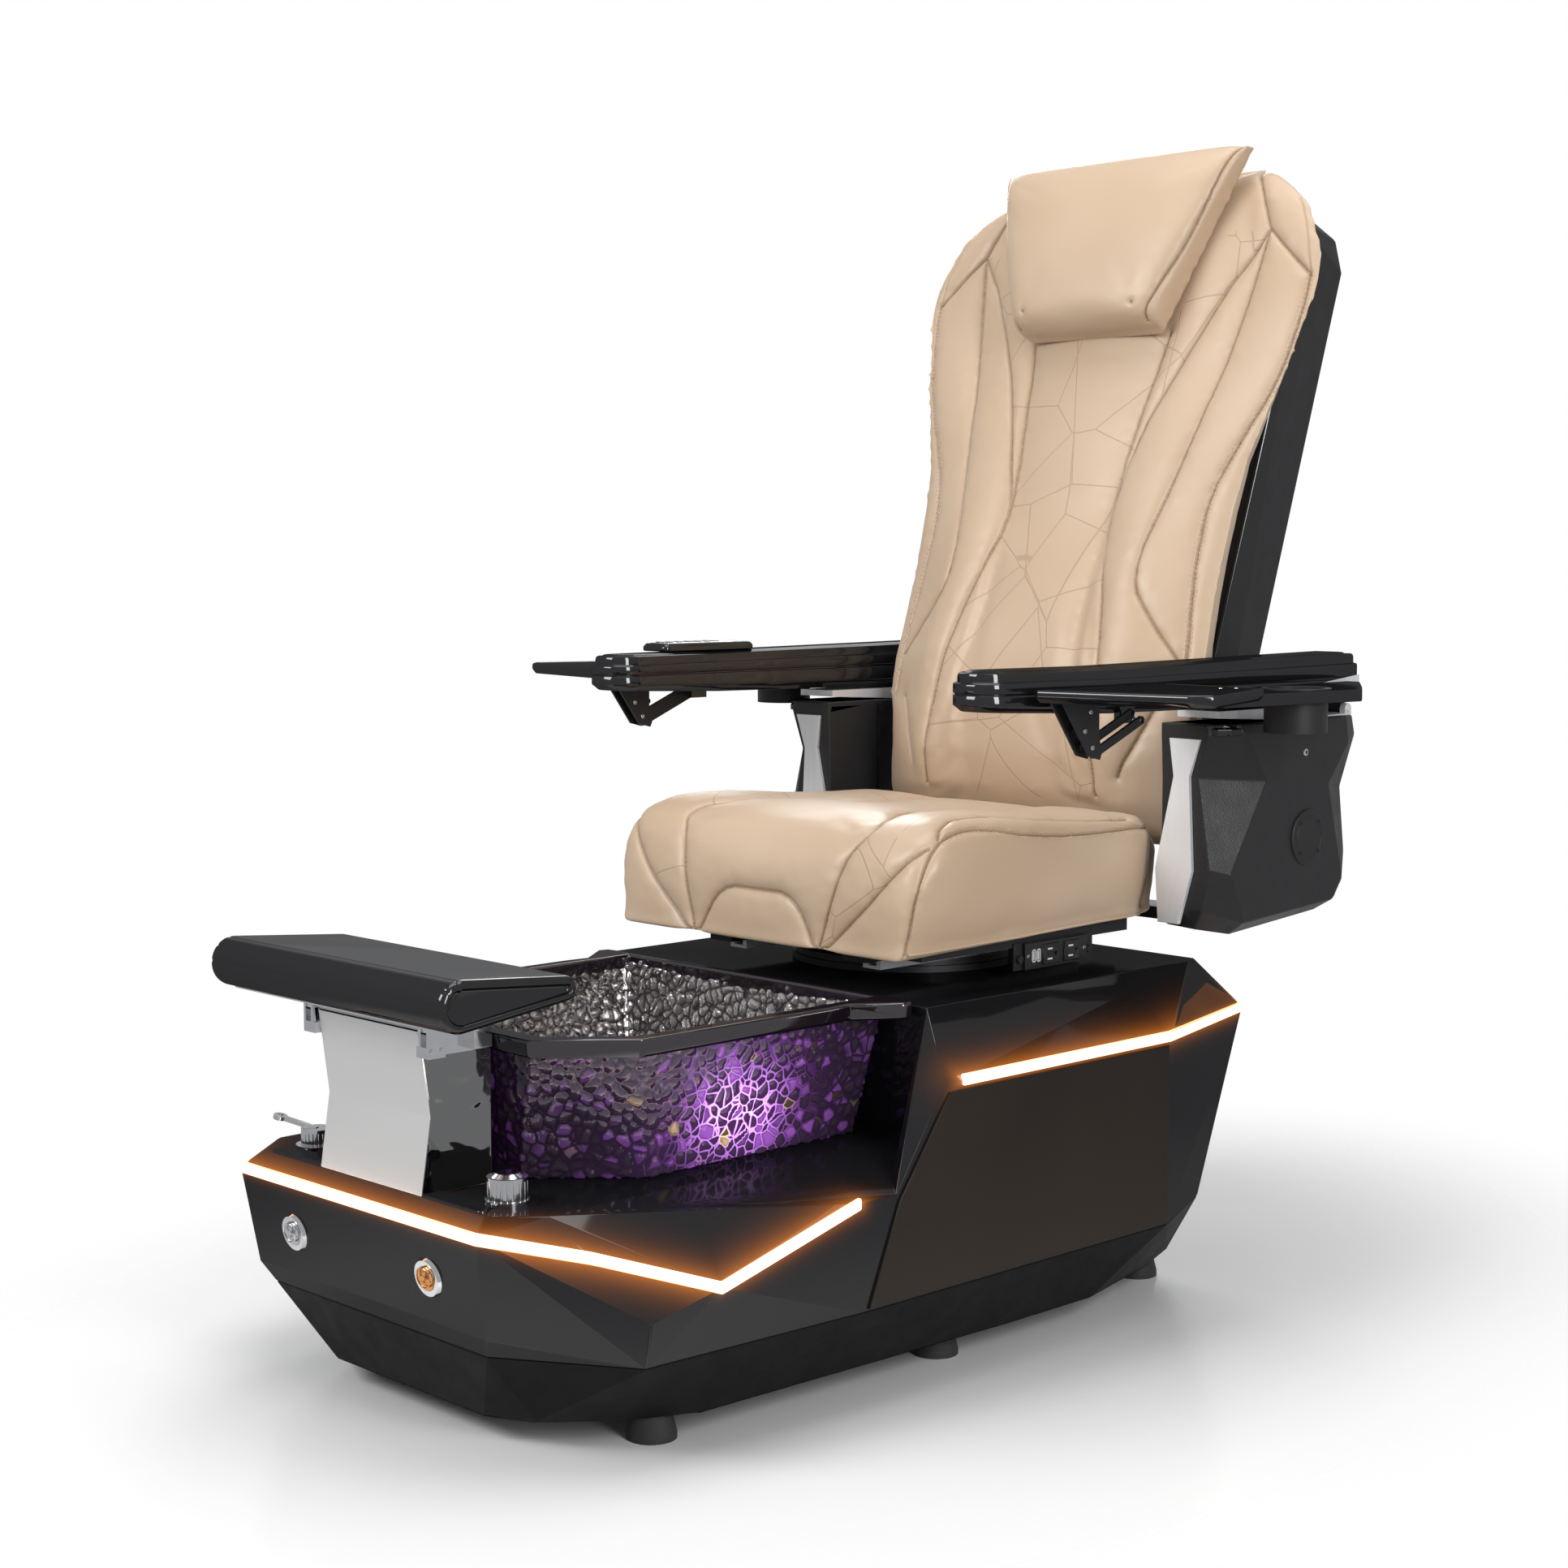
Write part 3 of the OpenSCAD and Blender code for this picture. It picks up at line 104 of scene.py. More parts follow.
# The base's edges, and the lit strips' middle lines on the sitter's left
BASE_LOW, BASE_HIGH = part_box("base_shell")
SIDE_X, FRONT_Y, REAR_Y = BASE_HIGH.x, BASE_LOW.y, BASE_HIGH.y
FRONT_LIGHT = [(0, FRONT_Y, 0.253), (SIDE_X - 0.141, FRONT_Y, 0.253),
               (SIDE_X - 0.069, FRONT_Y + 0.092, 0.2302), (SIDE_X, FRONT_Y + 0.213, 0.189),
               (SIDE_X, FRONT_Y + 0.419, 0.242)]
REAR_LIGHT = [(SIDE_X, FRONT_Y + 0.587, 0.356), (SIDE_X, REAR_Y - 0.304, 0.356),
              (SIDE_X - 0.112, REAR_Y, 0.342), (0, REAR_Y, 0.342)]
# The narrowest halo of a strip, and how near to a strip the lacquer's edges stay sharp
LEAST_HALO, SHARP_NEAR_STRIP = 0.004, 0.012
# Where the tub's light sits behind the glass, whose glow is painted on the glass: its bright core
# and how far it spreads
GLOW_LINE = [(0.222, -0.325, 0.322), (0.222, -0.365, 0.330)]
GLOW_CORE, GLOW_REACH = 0.052, 0.12
# How close the hammered pebbles' bends lie, and how far they sway
PEBBLE_BEND, PEBBLE_SWAY = 34.0, 0.016
# Which way the sloping front wall looks: it rises 113 while it comes 19 forward
FRONT_SLOPE = math.atan(19 / 113)
FRONT_FACE = Vector((0, -math.cos(FRONT_SLOPE), -math.sin(FRONT_SLOPE)))


# ---------------------------------------------------------------- settings

class LeatherSettings(PropertyGroup):
    """Sizes and colours of the upholstery."""

    colour: FloatVectorProperty(name="Leather", description="Colour of the upholstery",
                                subtype="COLOR", size=3, min=0, max=1, default=(0.555, 0.415, 0.292))
    # Painted shade: the colour the leather is darkened towards along its seams, also the colour of its
    # debossed lines
    shade: FloatVectorProperty(name="Fold shade", description="Colour deep in the seams",
                               subtype="COLOR", size=3, min=0, max=1, default=(0.19, 0.105, 0.045))
    thread: FloatVectorProperty(name="Thread", description="Colour of the stitches",
                                subtype="COLOR", size=3, min=0, max=1, default=(0.70, 0.54, 0.39))
    voxel: FloatProperty(name="Mesh step", description="Step of the upholstery's mesh",
                         unit="LENGTH", min=0.004, max=0.012, default=0.0065)
    inset: FloatProperty(name="Slack", description="How far a cover starts inside its filling",
                         unit="LENGTH", min=0, max=0.02, default=0.006)
    swell: FloatProperty(name="Swell", description="Most that a panel may rise between its seams",
                         unit="LENGTH", min=0, max=0.03, default=0.013)
    pressure: FloatProperty(name="Pressure", description="Push of the foam against its cover",
                            min=0, max=20, default=4)
    seam_depth: FloatProperty(name="Seam depth", description="How far a seam is drawn in",
                              unit="LENGTH", min=0, max=0.012, default=0.005)
    stitch_gap: FloatProperty(name="Stitch pitch", description="Distance from stitch to stitch",
                              unit="LENGTH", min=0.003, max=0.02, default=0.0065)


class ShellSettings(PropertyGroup):
    """Sizes and colours of the base and the moulded parts."""

    lacquer: FloatVectorProperty(name="Lacquer", description="Colour of the glossy mouldings",
                                 subtype="COLOR", size=3, min=0, max=1, default=(0.006, 0.006, 0.007))
    plastic: FloatVectorProperty(name="Plastic", description="Colour of the matt mouldings",
                                 subtype="COLOR", size=3, min=0, max=1, default=(0.013, 0.013, 0.014))
    panel: FloatVectorProperty(name="Side panel", description="Colour of the flat side panels",
                               subtype="COLOR", size=3, min=0, max=1, default=(0.024, 0.018, 0.014))
    edge: FloatProperty(name="Edge rounding", description="Rounding of the mouldings' edges",
                        unit="LENGTH", min=0, max=0.01, default=0.003)


class LightSettings(PropertyGroup):
    """Sizes and colours of the lit strips."""

    core: FloatVectorProperty(name="Strip core", description="Colour in the middle of a lit strip",
                              subtype="COLOR", size=3, min=0, max=1, default=(1.0, 0.93, 0.84))
    rim: FloatVectorProperty(name="Strip rim", description="Colour of a lit strip's edges and halo",
                             subtype="COLOR", size=3, min=0, max=1, default=(1.0, 0.28, 0.02))
    reach: FloatProperty(name="Halo reach", description="How far the halo spreads on the lacquer",
                         unit="LENGTH", min=0.005, max=0.1, default=0.008)
    strength: FloatProperty(name="Strength", description="Brightness of the lit strips",
                            min=0, max=50, default=7)


class TubSettings(PropertyGroup):
    """Sizes and colours of the foot tub."""

    glass: FloatVectorProperty(name="Glass", description="Colour of the hammered glass",
                               subtype="COLOR", size=3, min=0, max=1, default=(0.130, 0.098, 0.138))
    glow: FloatVectorProperty(name="Tub light", description="Colour of the light in the tub",
                              subtype="COLOR", size=3, min=0, max=1, default=(0.42, 0.11, 0.66))
    cells: FloatProperty(name="Pebbles per metre", description="How close the hammered pebbles lie",
                         min=20, max=120, default=74)
    relief: FloatProperty(name="Pebble relief", description="How far the pebbles stand out",
                          unit="LENGTH", min=0, max=0.004, default=0.0022)


class StageSettings(PropertyGroup):
    """The viewpoint and the lights."""

    eye: FloatVectorProperty(name="Viewpoint", description="Where the camera stands",
                             subtype="XYZ", size=3, default=(2.305, -2.2948, 0.955))
    turn: FloatProperty(name="Turn", description="Which way the camera looks round",
                        subtype="ANGLE", default=math.radians(46))
    tilt: FloatProperty(name="Tilt", description="How far the camera looks down",
                        subtype="ANGLE", default=math.radians(5.14))
    lens: FloatProperty(name="Lens", description="Focal length in millimetres",
                        min=20, max=120, default=59.25)


SETTINGS = {"chair_leather": LeatherSettings, "chair_shell": ShellSettings,
            "chair_light": LightSettings, "chair_tub": TubSettings, "chair_stage": StageSettings}


def settings(name):
    """The scene's settings of one kind."""
    return getattr(bpy.context.scene, "chair_" + name)


# ---------------------------------------------------------------- finishes

class Nodes:
    """A tree of nodes and short calls that add and join them."""

    def __init__(self, tree):
        self.tree = tree

    def add(self, kind, **values):
        """Adds a node and sets its values."""
        node = self.tree.nodes.new(kind)
        for key, value in values.items():
            setattr(node, key, value)
        return node

    def join(self, source, socket):
        """Links an output to a socket, or gives the socket a plain value."""
        if isinstance(source, bpy.types.NodeSocket):
            self.tree.links.new(source, socket)
        else:
            socket.default_value = source

    def step(self, kind, inputs, out=0, **values):
        """Adds a node, fills its inputs by name or number, and gives one of its outputs."""
        node = self.add(kind, **values)
        for key, source in inputs.items():
            self.join(source, node.inputs[key])
        return node.outputs[out]


class Finish(Nodes):
    """A material and short calls that add its nodes."""

    def __init__(self, name):
        self.material = bpy.data.materials.new(name)
        self.material.use_nodes = True
        super().__init__(self.material.node_tree)
        self.tree.nodes.clear()
        self.end = self.add("ShaderNodeOutputMaterial")
        self.shader = self.add("ShaderNodeBsdfPrincipled")
        self.join(self.shader.outputs[0], self.end.inputs["Surface"])
        self.place = self.add("ShaderNodeTexCoord").outputs["Object"]
        self.outward = self.add("ShaderNodeTexCoord").outputs["Normal"]

    def set(self, **values):
        """Sets the shader's sockets: names with underscores for spaces."""
        for key, value in values.items():
            socket = self.shader.inputs[key.replace("_", " ")]
            if not isinstance(value, bpy.types.NodeSocket) and socket.type == "RGBA":
                value = (*value, 1)
            self.join(value, socket)
        return self

    def maths(self, operation, a, b=0.0, c=0.0):
        """One step of arithmetic."""
        return self.step("ShaderNodeMath", {0: a, 1: b, 2: c}, operation=operation)

    def vector(self, operation, a, b=(0, 0, 0), scale=1.0):
        """One step of arithmetic on vectors."""
        node = self.add("ShaderNodeVectorMath", operation=operation)
        self.join(a, node.inputs[0])
        if operation == "SCALE":
            self.join(scale, node.inputs["Scale"])
        else:
            self.join(b, node.inputs[1])
        return next(out for out in node.outputs if out.enabled)

    def parts(self, vector):
        """The X, Y and Z of a vector."""
        split = self.add("ShaderNodeSeparateXYZ")
        self.join(vector, split.inputs[0])
        return list(split.outputs)

    def stretched(self, scale):
        """The piece's own coordinates, stretched along each axis."""
        return self.step("ShaderNodeMapping", {"Vector": self.place, "Scale": scale})

    def noise(self, scale, detail=2.0, at=None, kind="Fac"):
        """Soft noise, as a value or a colour."""
        return self.step("ShaderNodeTexNoise",
                         {"Vector": at or self.place, "Scale": scale, "Detail": detail}, kind)

    def cells(self, scale, feature="F1", at=None, kind="Distance"):
        """Cells of about one size, as a distance or a colour."""
        return self.step("ShaderNodeTexVoronoi", {"Vector": at or self.place, "Scale": scale}, kind,
                         feature=feature)

    def between(self, value, low, high, to_low=0.0, to_high=1.0, smooth=False):
        """A value moved from one range to another and held at its ends."""
        return self.step("ShaderNodeMapRange", {0: value, 1: low, 2: high, 3: to_low, 4: to_high},
                         interpolation_type="SMOOTHSTEP" if smooth else "LINEAR")

    def blend(self, amount, a, b):
        """A colour between two others; the node keeps its colours in sockets 6 and 7."""
        node = self.add("ShaderNodeMix", data_type="RGBA")
        self.join(amount, node.inputs[0])
        for socket, value in ((node.inputs[6], a), (node.inputs[7], b)):
            self.join(value if isinstance(value, bpy.types.NodeSocket) else (*value, 1), socket)
        return node.outputs[2]

    def attribute(self, name):
        """A value that the mesh carries at each point."""
        return self.add("ShaderNodeAttribute", attribute_name=name).outputs["Fac"]

    def bump(self, height, strength, distance, under=None):
        """A normal that follows a height, on top of another normal."""
        inputs = {"Strength": strength, "Distance": distance, "Height": height}
        return self.step("ShaderNodeBump", inputs if under is None else inputs | {"Normal": under})

    def falloff(self, distance, reach):
        """A round glow: 1 at no distance, and nearly 0 at twice its reach."""
        share = self.maths("POWER", self.maths("DIVIDE", distance, reach), 2.0)
        return self.maths("EXPONENT", self.maths("MULTIPLY", share, -1.0))

    def glossed(self, amount, rough, normal):
        """Lays an even gloss over the shader, no stronger towards the edges than head on."""
        gloss = self.step("ShaderNodeBsdfAnisotropic",
                          {"Color": (1, 1, 1, 1), "Roughness": rough, "Normal": normal})
        both = self.step("ShaderNodeMixShader", {0: amount, 1: self.shader.outputs[0], 2: gloss})
        self.join(both, self.end.inputs["Surface"])

    def from_line(self, points):
        """Distance from a line through points, in a space folded about X = 0."""
        x, y, z = self.parts(self.place)
        folded = self.step("ShaderNodeCombineXYZ", {0: self.maths("ABSOLUTE", x), 1: y, 2: z})
        nearest = None
        for a, b in zip(points, points[1:]):
            run = Vector(b) - Vector(a)
            rel = self.vector("SUBTRACT", folded, tuple(a))
            along = self.vector("DOT_PRODUCT", rel, tuple(run))
            share = self.maths("DIVIDE", along, run.length_squared)
            share = self.maths("MINIMUM", self.maths("MAXIMUM", share, 0.0), 1.0)
            foot = self.vector("SCALE", tuple(run), scale=share)
            away = self.vector("LENGTH", self.vector("SUBTRACT", rel, foot))
            nearest = away if nearest is None else self.maths("MINIMUM", nearest, away)
        return nearest

    def from_strips(self):
        """Distance from the nearer lit strip."""
        return self.maths("MINIMUM", self.from_line(FRONT_LIGHT), self.from_line(REAR_LIGHT))


# The debossed lines' two nets: cells per metre, and how far one net is moved against the other
LINE_NETS = ((4.4, 0.0), (7.0, 3.7))


def leather(name):
    """Soft coated leather: pores, broad wrinkles, shade in the folds and a debossed line pattern."""
    look = settings("leather")
    f = Finish(name)
    f.set(Roughness=f.between(f.noise(18, 3), 0.3, 0.7, 0.36, 0.47), Specular_IOR_Level=0.45,
          Sheen_Weight=0.12, Sheen_Roughness=0.4, Coat_Weight=0.10, Coat_Roughness=0.3)
    broad = f.between(f.noise(4.5, 2), 0.3, 0.7)
    warm = [c * k for c, k in zip(look.colour, (0.90, 0.87, 0.83))]
    base = f.blend(broad, look.colour, warm)
    # Painted shade: darkens the leather towards the fold shade along its seams
    base = f.blend(f.maths("MULTIPLY", f.attribute("crease_shade"), 0.7), base, look.shade)
    lines = None
    for scale, shift in LINE_NETS:
        at = f.vector("ADD", f.place, (shift, shift, shift))
        line = f.between(f.cells(scale, "DISTANCE_TO_EDGE", at), 0.0004 * scale, 0.0010 * scale,
                         1.0, 0.0)
        lines = line if lines is None else f.maths("MAXIMUM", lines, line)
    lines = f.maths("MULTIPLY", lines, f.attribute("pattern"))
    f.set(Base_Color=f.blend(f.maths("MULTIPLY", lines, 0.28), base, look.shade))
    pores = f.bump(f.cells(850), 0.13, 0.0004)
    folds = f.bump(f.noise(42, 4), 0.16, 0.0016, pores)
    f.set(Normal=f.bump(f.maths("SUBTRACT", 1.0, lines), 0.6, 0.0007, folds))
    return f.material


def thread(name):
    """Twisted sewing thread."""
    f = Finish(name)
    f.set(Base_Color=f.blend(f.noise(500), settings("leather").thread, settings("leather").colour),
          Roughness=0.6, Normal=f.bump(f.noise(2500), 0.4, 0.0002))
    return f.material


def lacquered(name, rough, ripple, gloss=0.055, flat=None, lit=False, colour=None):
    """Glossy lacquer with faint ripple; flat is its gloss where it lies level, and where it is lit,
    the strips' halo lies on it."""
    colour = colour or settings("shell").lacquer
    f = Finish(name)
    up = f.parts(f.outward)[2]
    smear = f.between(f.noise(9, 3), 0.25, 0.75, rough, rough + 0.04)
    ripples = f.bump(f.noise(11, 2), ripple, 0.004)
    f.set(Base_Color=f.blend(f.noise(3), colour, [c * 1.5 + 0.001 for c in colour]),
          Roughness=0.6, Specular_IOR_Level=0.0, Normal=ripples)
    f.glossed(gloss if flat is None else f.between(up, 0.90, 0.99, gloss, flat), smear, ripples)
    if lit:
        light = settings("light")
        # Painted glow: the strips' halo is emission on the lacquer, reaching further on faces that look up
        reach = f.maths("MULTIPLY_ADD", f.between(up, -0.05, 0.12), light.reach, LEAST_HALO)
        halo = f.maths("EXPONENT", f.maths("DIVIDE", f.maths("MULTIPLY", f.from_strips(), -1.0), reach))
        f.set(Emission_Color=light.rim, Emission_Strength=f.maths("MULTIPLY", halo, 0.85))
    return f.material


def moulded(name, rough, grain=1400, depth=0.0002, shine=0.35, colour=None):
    """Matt moulded plastic with a fine spark-eroded grain."""
    colour = colour or settings("shell").plastic
    f = Finish(name)
    f.set(Base_Color=f.blend(f.noise(6, 3), colour, [c * 1.35 + 0.002 for c in colour]),
          Roughness=f.between(f.noise(30, 3), 0.3, 0.7, rough, rough + 0.1),
          Specular_IOR_Level=shine, Normal=f.bump(f.cells(grain), 0.35, depth))
    return f.material


def metal(name, colour, rough, brush=None, shine=1.0):
    """Polished or brushed metal; brush stretches the scratches, and less shine makes it paler."""
    f = Finish(name)
    scratch = f.noise(1.0, 4, f.stretched(brush)) if brush else f.noise(60, 4)
    f.set(Base_Color=f.blend(scratch, colour, [c * 0.82 for c in colour]), Metallic=shine,
          Roughness=f.between(scratch, 0.3, 0.7, rough, rough + 0.14),
          Normal=f.bump(scratch, 0.12 if brush else 0.03, 0.0003))
    return f.material


def polished(name):
    """Mirror-polished sheet with reflection painted into its colour: pale in front, where it is plain, and
    dark on its side plates, which carry wavy reflections.
    """
    f = Finish(name)
    flank = f.between(f.maths("ABSOLUTE", f.parts(f.outward)[0]), 0.5, 0.9)
    at = f.vector("ADD", f.place, f.vector("SCALE", f.noise(7, 1, kind="Color"), scale=0.12))
    waves = f.bump(f.noise(13, 1.5, at), f.maths("MULTIPLY_ADD", flank, 0.6, 0.04), 0.012)
    # Painted reflection: pale in front and dark on the side plates
    f.set(Base_Color=f.blend(flank, (0.86, 0.86, 0.85), (0.30, 0.30, 0.30)),
          Metallic=f.between(flank, 0, 1, 0.7, 1.0),
          Roughness=f.between(flank, 0, 1, 0.34, 0.05), Normal=waves)
    return f.material


def side_panel(name):
    """Dark smoked panel that lightens towards its foot."""
    colour = settings("shell").panel
    foot, top = 0.13, 0.34
    f = Finish(name)
    base = f.blend(f.between(f.parts(f.place)[2], foot, top), colour, [c * 0.45 for c in colour])
    f.set(Base_Color=f.blend(f.noise(5), base, [c * 1.2 for c in colour]),
          Roughness=0.6, Specular_IOR_Level=0.05, Normal=f.bump(f.noise(1800), 0.05, 0.0001))
    f.glossed(0.012, f.between(f.noise(12, 3), 0.3, 0.7, 0.16, 0.24), f.bump(f.noise(9), 0.04, 0.003))
    return f.material


def strip_light(name):
    """A lit strip: near white in the middle, amber at its edges."""
    light = settings("light")
    f = Finish(name)
    edge = f.between(f.from_strips(), 0.0044, 0.0072, smooth=True)
    dots = f.between(f.noise(90), 0.3, 0.7, 0.92, 1.0)
    f.set(Base_Color=(0.8, 0.75, 0.7), Roughness=0.4,
          Emission_Color=f.blend(edge, light.core, light.rim),
          Emission_Strength=f.maths("MULTIPLY", f.between(edge, 0, 1, light.strength, 1.6), dots))
    return f.material


def hammered_glass(name):
    """Hammered tub glass: dark pebbles with painted shade in their dips and a paler inside painted as
    reflection, with the tub's light painted on them as glow and glints round the lamp.
    """
    tub = settings("tub")
    # Painted light: the glow's hot core, the amber glints, and the inside's paler colour as painted
    # reflection
    hot_glow, amber, inside_sheen = (0.80, 0.42, 1.0), (0.80, 0.55, 0.30), (0.56, 0.53, 0.51)
    f = Finish(name)
    sway = f.vector("SCALE", f.noise(PEBBLE_BEND, 1, kind="Color"), scale=PEBBLE_SWAY)
    at = f.vector("ADD", f.place, sway)
    edge = f.cells(tub.cells, "DISTANCE_TO_EDGE", at)
    split = f.add("ShaderNodeSeparateColor")
    f.join(f.cells(tub.cells, at=at, kind="Color"), split.inputs[0])
    chance, kind = split.outputs[0], split.outputs[1]
    outer = f.attribute("outer")
    web = f.between(edge, 0.015, 0.12, 1.0, 0.0, smooth=True)
    near = f.from_line(GLOW_LINE)
    core, wide = f.falloff(near, GLOW_CORE), f.falloff(near, GLOW_REACH)
    # Painted glints: a few random cells lit whole
    facet_glint = f.maths("MULTIPLY", f.between(chance, 0.70, 0.78), f.between(edge, 0.05, 0.2))
    # Painted glow: emission round the tub's light, bright on the cells' edges near its core, with glinting
    # cells further off, on the outer side only
    lit = f.maths("MULTIPLY", core, f.maths("MULTIPLY_ADD", web, 2.4, 0.10))
    lit = f.maths("ADD", lit, f.maths("MULTIPLY", wide, f.maths("MULTIPLY_ADD", facet_glint, 0.75, 0.045)))
    lit = f.maths("ADD", lit, f.maths("MULTIPLY", f.maths("MULTIPLY", wide, web), 0.10))
    lit = f.maths("MULTIPLY", f.maths("ADD", lit, f.maths("MULTIPLY_ADD", facet_glint, 0.07, 0.006)), outer)
    colour = f.blend(f.maths("MULTIPLY", core, web), tub.glow, hot_glow)
    colour = f.blend(f.between(kind, 0.96, 0.97), colour, amber)
    # Painted reflection: the inside is paler than the outer glass
    base = f.blend(outer, inside_sheen, tub.glass)
    # Painted shade: darker in the dips between the pebbles
    f.set(Base_Color=f.blend(f.between(edge, 0.0, 0.25), [c * 0.3 for c in tub.glass], base),
          Roughness=f.between(f.noise(40), 0.3, 0.7, 0.05, 0.10),
          Metallic=f.between(outer, 0, 1, 0.8, 0.7), Coat_Weight=1.0, Coat_Roughness=0.02,
          Specular_IOR_Level=0.8, Emission_Color=colour, Emission_Strength=lit,
          Normal=f.bump(f.noise(95, 2), 0.35, 0.002))
    return f.material


def rubber(name):
    """Dull black rubber."""
    f = Finish(name)
    f.set(Base_Color=f.blend(f.noise(40), (0.012, 0.012, 0.012), (0.03, 0.03, 0.03)), Roughness=0.75,
          Normal=f.bump(f.noise(900), 0.3, 0.0003))
    return f.material


def plain_plastic(name, colour, rough=0.35):
    """Small smooth plastic parts."""
    f = Finish(name)
    f.set(Base_Color=f.blend(f.noise(60), colour, [c * 0.9 for c in colour]),
          Roughness=f.between(f.noise(80), 0.3, 0.7, rough, rough + 0.08))
    return f.material


# How each finish is made
MAKERS = {
    "leather": leather,
    "thread": thread,
    "lit_lacquer": partial(lacquered, rough=0.06, ripple=0.05, gloss=0.042, lit=True),
    "pad_lacquer": partial(lacquered, rough=0.05, ripple=0.03, flat=0.26),
    "lacquer": partial(lacquered, rough=0.05, ripple=0.03),
    "rim_lacquer": partial(lacquered, rough=0.03, ripple=0.16, gloss=0.11,
                           colour=(0.008, 0.005, 0.008)),
    "satin": partial(moulded, rough=0.45),
    "skirt": partial(moulded, rough=0.55, shine=0.12, colour=(0.0025, 0.0025, 0.003)),
    "grained": partial(moulded, rough=0.38, grain=620, depth=0.0006),
    "dark_steel": partial(metal, colour=(0.07, 0.07, 0.075), rough=0.35),
    "chrome": partial(metal, colour=(0.82, 0.83, 0.85), rough=0.05),
    "steel": partial(metal, colour=(0.62, 0.62, 0.63), rough=0.16),
    "polished": polished,
    "brushed": partial(metal, colour=(0.90, 0.91, 0.93), rough=0.42, brush=(380, 380, 7), shine=0.55),
    "copper": partial(metal, colour=(0.75, 0.36, 0.13), rough=0.18, brush=(200, 8, 200)),
    "side_panel": side_panel,
    "strip_light": strip_light,
    "hammered_glass": hammered_glass,
    "rubber": rubber,
    "white_plastic": partial(plain_plastic, colour=(0.75, 0.75, 0.73)),
    "black_plastic": partial(plain_plastic, colour=(0.01, 0.01, 0.011)),
    "screen": partial(plain_plastic, colour=(0.05, 0.06, 0.07), rough=0.1),
}
made_finishes = {}


def finish(name):
    """A finish by name, made once."""
    if name not in made_finishes:
        made_finishes[name] = MAKERS[name](name)
    return made_finishes[name]


# ---------------------------------------------------------------- meshes

def body_of(node):
    """The body that a node of the frame moves with."""
    return frame["nodes"][node]["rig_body"]


def piece(name, mesh, body, look=None, slot=None, instead=()):
    """Puts a finished mesh in the scene as a piece that moves with a body."""
    obj = bpy.data.objects.new(name, mesh)
    bpy.context.scene.collection.objects.link(obj)
    if look:
        mesh.materials.clear()
        mesh.materials.append(finish(look))
    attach(obj, body)
    if instead:
        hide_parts(*instead)
    return obj


def dress(look, *nodes):
    """Gives nodes of the frame a finish and leaves their shape alone."""
    for node in nodes:
        obj = frame["nodes"][node]
        for slot in obj.material_slots:
            slot.link = "OBJECT"
            slot.material = finish(look)


def mesh_from(bm, name="made", smooth=35):
    """Turns a bmesh into a mesh that is smooth except at its sharp edges."""
    mesh = bpy.data.meshes.new(name)
    bm.to_mesh(mesh)
    bm.free()
    return shaded(mesh, smooth)


def shaded(mesh, angle=35):
    """Makes a mesh smooth except at edges sharper than an angle."""
    mesh.polygons.foreach_set("use_smooth", [True] * len(mesh.polygons))
    mesh.set_sharp_from_angle(angle=math.radians(angle))
    return mesh


def joined_copy(node, flat=0.6):
    """A copy of a node's mesh with its triangles joined up into flat faces."""
    bm = bmesh.new()
    bm.from_mesh(frame["nodes"][node].data)
    bmesh.ops.remove_doubles(bm, verts=bm.verts, dist=1e-5)
    if flat:
        bmesh.ops.dissolve_limit(bm, angle_limit=math.radians(flat), verts=bm.verts, edges=bm.edges)
    return bm


def with_modifiers(mesh, add):
    """The mesh after the modifiers that add(object) puts on it."""
    obj = bpy.data.objects.new("work", mesh)
    bpy.context.scene.collection.objects.link(obj)
    add(obj)
    view = bpy.context.evaluated_depsgraph_get()
    made = bpy.data.meshes.new_from_object(obj.evaluated_get(view), depsgraph=view)
    bpy.data.objects.remove(obj)
    return made


def bevelled(bm, name, width, angle=25, segments=2, shortest=4.0, skip=None, smooth=35):
    """A shape as a mesh with its long edges rounded; skip(edge) says which edges stay sharp."""
    layers = bm.edges.layers.float
    weight = layers.get("bevel_weight_edge") or layers.new("bevel_weight_edge")
    for edge in bm.edges:
        if len(edge.link_faces) == 2 and edge.calc_face_angle(0) > math.radians(angle):
            if edge.calc_length() > shortest * width and not (skip and skip(edge)):
                edge[weight] = 1.0
    mesh = mesh_from(bm, name, smooth)

    def add(obj):
        bevel = obj.modifiers.new("edges", "BEVEL")
        bevel.limit_method = "WEIGHT"
        bevel.width = width
        bevel.segments = segments
        bevel.use_clamp_overlap = False
        bevel.harden_normals = True

    return with_modifiers(mesh, add)


def rounded(node, name, look, slot=None, width=None, also=None, **choice):
    """A node again with its long edges rounded, as its own piece."""
    bm = joined_copy(node)
    if also:
        also(bm)
    mesh = bevelled(bm, name, settings("shell").edge if width is None else width, **choice)
    return piece(name, mesh, body_of(node), look, slot, (node,))


def cornered(points, steps=8):
    """A closed outline from corners (x, y, radius), each rounded with its radius."""
    outline = []
    count = len(points)
    for i, (x, y, radius) in enumerate(points):
        here = Vector((x, y))
        before = (Vector(points[i - 1][:2]) - here).normalized()
        after = (Vector(points[(i + 1) % count][:2]) - here).normalized()
        half = before.angle(after) / 2
        if radius < 1e-6 or half > 1.55:
            outline.append(here)
            continue
        reach = radius / math.tan(half)
        middle = here + (before + after).normalized() * radius / math.sin(half)
        start, end = here + before * reach - middle, here + after * reach - middle
        for k in range(steps + 1):
            spoke = start.slerp(end, k / steps) if start.angle(end) > 1e-3 else start.normalized()
            outline.append(middle + spoke * radius)
    return outline


